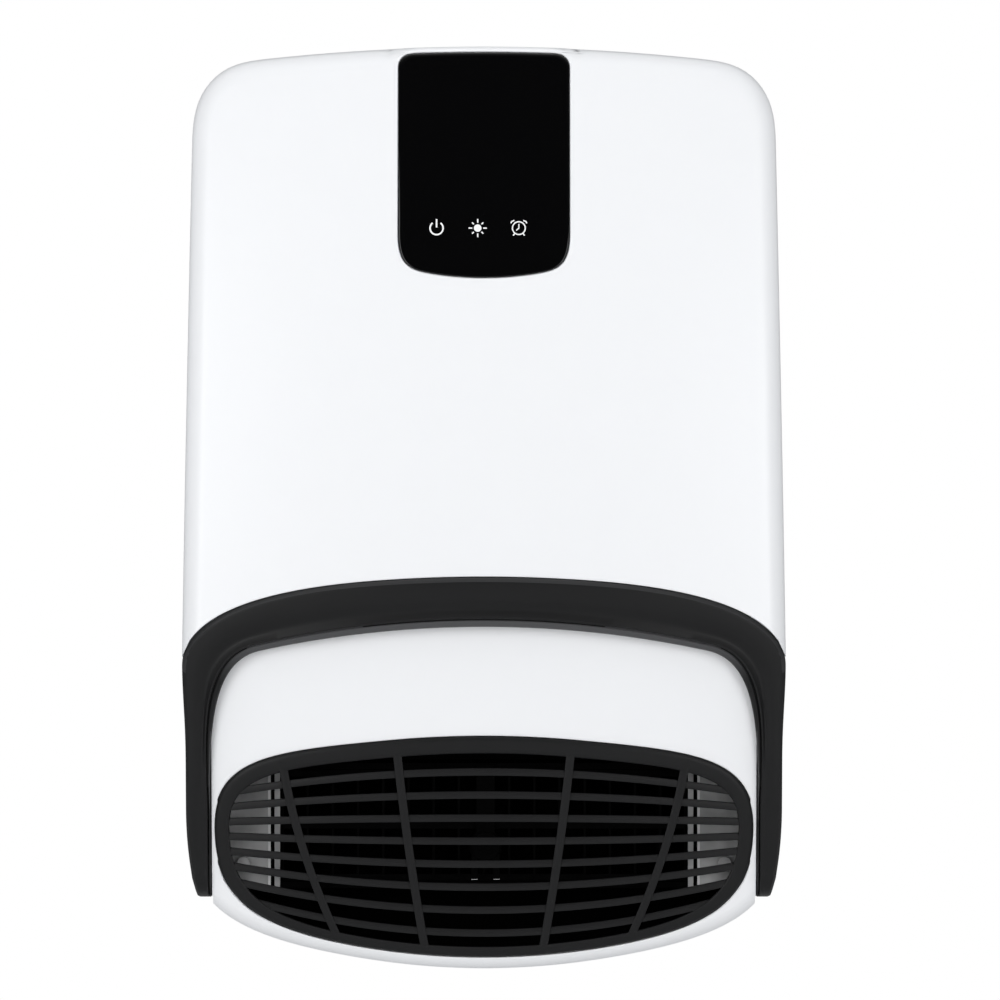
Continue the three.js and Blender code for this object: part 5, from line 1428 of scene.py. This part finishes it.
# ------------------------------------------------------------------ the rear casing
@dataclass
class RearCasing:
    """The white tray behind the cover, with air slots, posts and the holes of the switch and the gland."""

    set_in: float = 3.4
    wall: float = 2.5
    wall_gap: float = 0.5
    front: float = 55
    recess: float = 6
    inside: float = 8.5
    screw_hole: float = 1.9
    upper_screw: tuple[float, float] = (112, 118)
    lower_screw: tuple[float, float] = (110, -156)
    gland: tuple[float, float, float] = (92, 20, 6.3)
    hook: tuple[float, float, float, float] = (35, 55, 52.3, 64.3)
    switch: tuple[float, float] = (30, -70)
    ear_holes: tuple[tuple[float, float], ...] = ((109.5, -210.6), (109.5, -176.4))
    ear_back: float = 72.8
    board_posts: tuple[tuple[float, float], ...] = ((-85, 5), (25, 5), (-85, 75), (25, 75))
    board_back: float = 16.5
    rotor_z: float = -125
    blower_ends: tuple[float, float] = (-97.4, 79.4)
    blower_back: float = 12.7
    slot_depth: tuple[float, float] = (16, 42)
    slot_width: float = 5
    side_slots: range = range(-10, 86, 16)  # heights of the side slots' lower edges
    side_slot_x: tuple[float, float] = (118, 148)
    top_slots: range = range(-54, 55, 18)  # middles of the top slots
    top_slot_z: tuple[float, float] = (140, 180)

    def slot(self, low: Sequence[float], high: Sequence[float]) -> bpy.types.Object:
        """A cutter with rounded corners for an air slot."""
        return Bench.block("slot", low, high, 1.2)

    def holes(self) -> list[bpy.types.Object]:
        """Everything that is cut out of the tray."""
        made = []
        back, front = self.slot_depth
        for side in (1, -1):
            for x, z in (self.upper_screw, self.lower_screw):
                made.append(Bench.bar("hole", self.screw_hole, (side * x, -1, z), (side * x, 20, z), 32))
            near, far, low, high = self.hook
            left, right = sorted((side * near, side * far))
            made.append(Bench.block("hook", (left, 0, low), (right, 20, high)))
            left, right = sorted(side * x for x in self.side_slot_x)
            for z in self.side_slots:
                made.append(self.slot((left, back, z), (right, front, z + self.slot_width)))
            for x, z in self.ear_holes:
                start, end = ((side * x, self.ear_back + way, z) for way in (-14, 5))
                made.append(Bench.bar("bore", self.screw_hole, start, end, 24))
        bottom, top = self.top_slot_z
        for x in self.top_slots:
            made.append(self.slot((x - self.slot_width / 2, back, bottom), (x + self.slot_width / 2, front, top)))
        x, z, radius = self.gland
        made.append(Bench.bar("gland", radius, (x, -1, z), (x, 20, z)))
        depth, z = self.switch
        made.append(Bench.block("switch", (110, depth - 6.8, z - 9.8), (150, depth + 6.8, z + 9.8)))
        return made

    def build(self) -> None:
        """Makes the casing."""
        outline = closed(spread(BODY_HALF, 160))
        outer, inner = inset(outline, self.set_in), inset(outline, self.set_in + self.wall)
        soft = 1.2
        rings = [
            ring(inset(outer, soft), self.wall_gap), ring(inset(outer, soft / 3), self.wall_gap + soft / 3),
            ring(outer, self.wall_gap + soft), ring(outer, self.front - 0.5), ring(inset(outer, 0.5), self.front),
            ring(inset(inner, -0.5), self.front), ring(inner, self.front - 0.5), ring(inner, self.inside),
            ring(inner, self.wall_gap),
        ]
        floor = Bench.prism("floor_plate", inset(outline, self.set_in + 0.5), self.recess, self.inside)
        tray = Bench.loft("rear_casing_tray", rings, loop=True)
        Bench.combine(tray, floor, Cut.JOIN)
        posts = [
            Bench.bar("post", 3, (x, self.inside - 1, z), (x, self.board_back - 0.3, z), 32)
            for x, z in self.board_posts
        ]
        for side in (1, -1):
            for x, z in self.ear_holes:
                start, end = ((side * x, depth, z) for depth in (self.inside - 1, self.ear_back - 0.3))
                posts.append(Bench.bar("post", 3.5, start, end, 32))
        for x, way in zip(self.blower_ends, (-1, 1)):
            low, high = sorted((x - way * 0.8, x + way * 6))
            corner = (high, self.blower_back, self.rotor_z + 15)
            posts.append(Bench.block("foot", (low, self.inside - 1, self.rotor_z - 25), corner))
        for post in posts:
            Bench.combine(tray, post, Cut.JOIN)
        for hole in self.holes():
            Bench.combine(tray, hole, Cut.REMOVE)
        trim_corners(tray)
        Bench.smooth(tray, 30)
        Finishes.finished(tray, Finishes.WHITE, "case", ["rear_casing"])
        border = outer[::4]

        def within(middles: np.ndarray) -> np.ndarray:
            """Whether a face lies inside, away from the outer walls."""
            return (middles[:, 1] > self.inside - 0.1) & (distance_to(border, middles[:, [0, 2]]) > 1.9)

        # The inner faces are painted near-black: painted shade inside the casing.
        Finishes.second(tray, Finishes.SHADE_BLACK, within)


# ------------------------------------------------------------------ what keeps its CAD shape
@dataclass
class Inside:
    """The bracket, the heating element, the blower, the electronics, the switch and the screws."""

    soft_width: float = 0.25
    fold_glint_x: tuple[float, float] = (97.0, 98.2)  # the ear plates' fold, where a glint is painted, by its distance from the centre line
    rail_x: tuple[float, float] = (92.8, 95.2)  # and the heating frame's side rails
    glint_tips_z: float = -215.5  # the cut-out's blade tips below this height take a painted glint
    softened: tuple[str, ...] = (
        "wall_bracket", "switch_body", "switch_rocker", "cable_gland",
        "ptc_frame", "ptc_plate_right", "ptc_plate_left", "cutout_bracket", "thermal_cutout",
        "terminal_block", "relay_heater", "relay_fan", "capacitor", "motor_stator",
        "rail_pivot_right", "rail_pivot_left",
        "case_screw_upper_right", "case_screw_upper_left", "case_screw_lower_right", "case_screw_lower_left",
        "ear_screw_upper_right", "ear_screw_upper_left", "ear_screw_lower_right", "ear_screw_lower_left",
    )
    finishes: dict[Finish, tuple[str, ...]] = field(
        default_factory=lambda: {
            Finishes.BOARD: ("control_board", "power_board"),
            Finishes.BLACK: ("board_carrier", "buzzer", "relay_", "fan_rotor", "switch_"),
            Finishes.ALUMINIUM: ("capacitor", "motor_rotor"),
            Finishes.CREAM: ("terminal_block",),
            Finishes.RUBBER: ("cable_gland", "fan_bearing"),
            # The fins are darkened as painted shade for the unlit inside of the outlet.
            Finishes.FINS_PAINTED_SHADE: ("ptc_core",),
            Finishes.SHAFT: ("fan_shaft",),
            Finishes.DULL: ("ptc_plate_", "ear_screw_"),
            # Near-black parts deep inside: partly their own black colour, partly painted shade.
            Finishes.SHADE_BLACK: (
                "ptc_frame", "cutout_bracket", "thermal_cutout", "fan_scroll", "fan_tongue", "blower_end_",
                "motor_bracket",
            ),
        }
    )

    def finish_of(self, name: str) -> Finish:
        """The finish of a CAD node by how its name starts, or steel."""
        return next((finish for finish, starts in self.finishes.items() if name.startswith(starts)), Finishes.STEEL)

    def build(self) -> None:
        """Gives every CAD node that still shows its finish, and the handled or lit ones softer edges."""
        for name in self.softened:
            piece = Bench.softened(name, self.soft_width)
            Finishes.finished(piece, self.finish_of(name), frame["nodes"][name]["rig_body"], [name])
            if name.startswith("ptc_plate"):
                # A painted glint along the fold; the plate inside the fold is painted shade.
                near, far = self.fold_glint_x
                Bench.score(piece, (near, far, -near, -far))
                Finishes.second(piece, Finishes.FOLD_PAINTED_GLINT, lambda m: np.abs(m[:, 0]) < far)
                Finishes.second(piece, Finishes.SHADE_BLACK, lambda m: np.abs(m[:, 0]) < near)
            if name == "ptc_frame":
                near, far = self.rail_x
                Bench.score(piece, (near, far, -near, -far))
                middle, half = (near + far) / 2, (far - near) / 2
                Finishes.second(piece, Finishes.DULL, lambda m: np.abs(np.abs(m[:, 0]) - middle) < half)
            if name == "thermal_cutout":
                # Painted glints on the blade tips.
                Finishes.second(piece, Finishes.FOLD_PAINTED_GLINT, lambda m: m[:, 2] < self.glint_tips_z)
        for name, node in frame["nodes"].items():
            finish = self.finish_of(name)
            if not node.hide_render:
                Finishes.dress(node, finish)
                log.info("%s: CAD shape, %s", name, finish.name)


# ------------------------------------------------------------------ floor, light and camera
@dataclass(frozen=True)
class Lamp:
    """A soft rectangular lamp, in metres and watts."""

    name: str
    place: tuple[float, float, float]
    aim: tuple[float, float, float]
    width: float
    height: float
    power: float

    def light(self) -> None:
        """Adds the lamp to the scene."""
        data = bpy.data.lights.new(self.name, "AREA")
        data.shape = "RECTANGLE"
        data.size, data.size_y, data.energy = self.width, self.height, self.power
        lamp = bpy.data.objects.new(self.name, data)
        bpy.context.collection.objects.link(lamp)
        lamp.location = self.place
        lamp.rotation_mode = "QUATERNION"
        lamp.rotation_quaternion = (Vector(self.aim) - Vector(self.place)).to_track_quat("-Z", "Y")


@dataclass
class Studio:
    """A pale floor, soft light and a camera straight in front of the heater."""

    pixel_mm: float = 0.4548
    frame_pixels: int = 1000
    centre_pixel: tuple[float, float] = (484, 400)  # the pixel at x 0, z 0
    lens: float = 400
    sensor: float = 36
    focus_depth: float = 75
    floor_z: float = -420
    floor_glow: float = 0.5  # share of white that the camera sees in the floor
    ambient: float = 0.6
    room_light: float = 0.03  # what reflections see at eye level
    ceiling_light: float = 1.1  # and overhead
    ceiling: tuple[float, float] = (0.5, 0.95)  # how far up the reflected room turns into its lit ceiling
    lamps: tuple[Lamp, ...] = (
        Lamp("key", (-1.9, -2.6, 0.2), (0, -0.05, 0), 1.6, 2.4, 41),
        Lamp("fill", (1.9, -2.6, 0.0), (0, -0.05, -0.05), 1.6, 2.4, 36),
        Lamp("top", (0.0, -0.9, 2.6), (0, -0.08, 0), 2.0, 1.2, 4),
        Lamp("low", (0.0, -2.0, -1.4), (0, -0.08, -0.15), 2.6, 1.0, 56),
    )

    def build(self) -> None:
        """Sets up the floor, the lamps, the world and the camera."""
        scene = bpy.context.scene
        scene.view_settings.view_transform = "Standard"
        self.floor()
        self.world(scene)
        for lamp in self.lamps:
            lamp.light()
        self.camera(scene)

    def floor(self) -> None:
        """A plain pale floor that keeps the heater's shadow."""
        Bench.clear()
        bpy.ops.mesh.primitive_plane_add(size=4, location=(0, 0, self.floor_z * MM))
        plane = bpy.context.object
        plane.name = "floor"
        Bench.settle(plane)
        finish = Finish("pale_floor", "white_plastic", (0.82, 0.82, 0.82), 0.7, specular=0.1, mottle=0.01)
        material = finish.material()
        plane.data.materials.append(material)
        tree = material.node_tree
        seen = Value(tree, tree.nodes.new("ShaderNodeLightPath").outputs["Is Camera Ray"]) * self.floor_glow
        out = next(node for node in tree.nodes if node.type == "OUTPUT_MATERIAL")
        plain, white = out.inputs[0].links[0].from_socket, tree.nodes.new("ShaderNodeEmission").outputs[0]
        tree.links.new(self.blend(seen, plain, white), out.inputs[0])

    @staticmethod
    def blend(share: Value, low: bpy.types.NodeSocket, high: bpy.types.NodeSocket) -> bpy.types.NodeSocket:
        """A shader between two shaders."""
        node = share.tree.nodes.new("ShaderNodeMixShader")
        for slot, socket in zip(node.inputs, (share.socket, low, high)):
            share.tree.links.new(socket, slot)
        return node.outputs[0]

    def world(self, scene: bpy.types.Scene) -> None:
        """White to the camera, a lit ceiling over a dark room in reflections, and an even light otherwise."""
        world = bpy.data.worlds.new("studio")
        scene.world = world
        world.use_nodes = True
        tree = world.node_tree
        tree.nodes.clear()

        def backdrop(colour: tuple[float, float, float, float], strength: float) -> bpy.types.NodeSocket:
            """An even background of one colour."""
            node = tree.nodes.new("ShaderNodeBackground")
            node.inputs["Color"].default_value = colour
            node.inputs["Strength"].default_value = strength
            return node.outputs[0]

        path = tree.nodes.new("ShaderNodeLightPath")
        seen = Value(tree, path.outputs["Is Camera Ray"]) + Value(tree, path.outputs["Is Transmission Ray"])
        gloss = Value(tree, path.outputs["Is Glossy Ray"])
        place = tree.nodes.new("ShaderNodeTexCoord").outputs["Generated"]
        parts = tree.nodes.new("ShaderNodeSeparateXYZ")
        tree.links.new(place, parts.inputs[0])
        ramp = tree.nodes.new("ShaderNodeMapRange")
        ramp.interpolation_type = "SMOOTHSTEP"
        tree.links.new(parts.outputs["Z"], ramp.inputs["Value"])
        ramp.inputs["From Min"].default_value, ramp.inputs["From Max"].default_value = self.ceiling
        white = (1, 1, 1, 1)
        dark, bright = backdrop(white, self.room_light), backdrop(white, self.ceiling_light)
        room = self.blend(Value(tree, ramp.outputs[0]), dark, bright)
        even = backdrop((0.96, 0.98, 1, 1), self.ambient)
        lit = self.blend(gloss, even, room)
        out = tree.nodes.new("ShaderNodeOutputWorld")
        tree.links.new(self.blend(seen, lit, backdrop(white, 1)), out.inputs[0])

    def camera(self, scene: bpy.types.Scene) -> None:
        """A long lens straight on, so that the heater stands as in the photograph."""
        data = bpy.data.cameras.new("camera")
        data.lens, data.sensor_width = self.lens, self.sensor
        data.clip_end = 50
        camera = bpy.data.objects.new("camera", data)
        bpy.context.collection.objects.link(camera)
        middle = self.frame_pixels / 2
        x = (middle - self.centre_pixel[0]) * self.pixel_mm
        z = (self.centre_pixel[1] - middle) * self.pixel_mm
        away = self.focus_depth + self.lens / self.sensor * self.frame_pixels * self.pixel_mm
        camera.location = (x * MM, -away * MM, z * MM)
        camera.rotation_euler = (math.pi / 2, 0, 0)
        scene.camera = camera


def main() -> None:
    """Builds the heater's visible pieces, dresses it and sets the stage."""
    logging.basicConfig(level=logging.INFO, format="%(message)s")
    Studio().build()
    FrontCover().build()
    Outlet().build()
    TowelRail().build()
    RearCasing().build()
    Inside().build()
    Bench.clear()


if __name__ == "__main__":
    main()
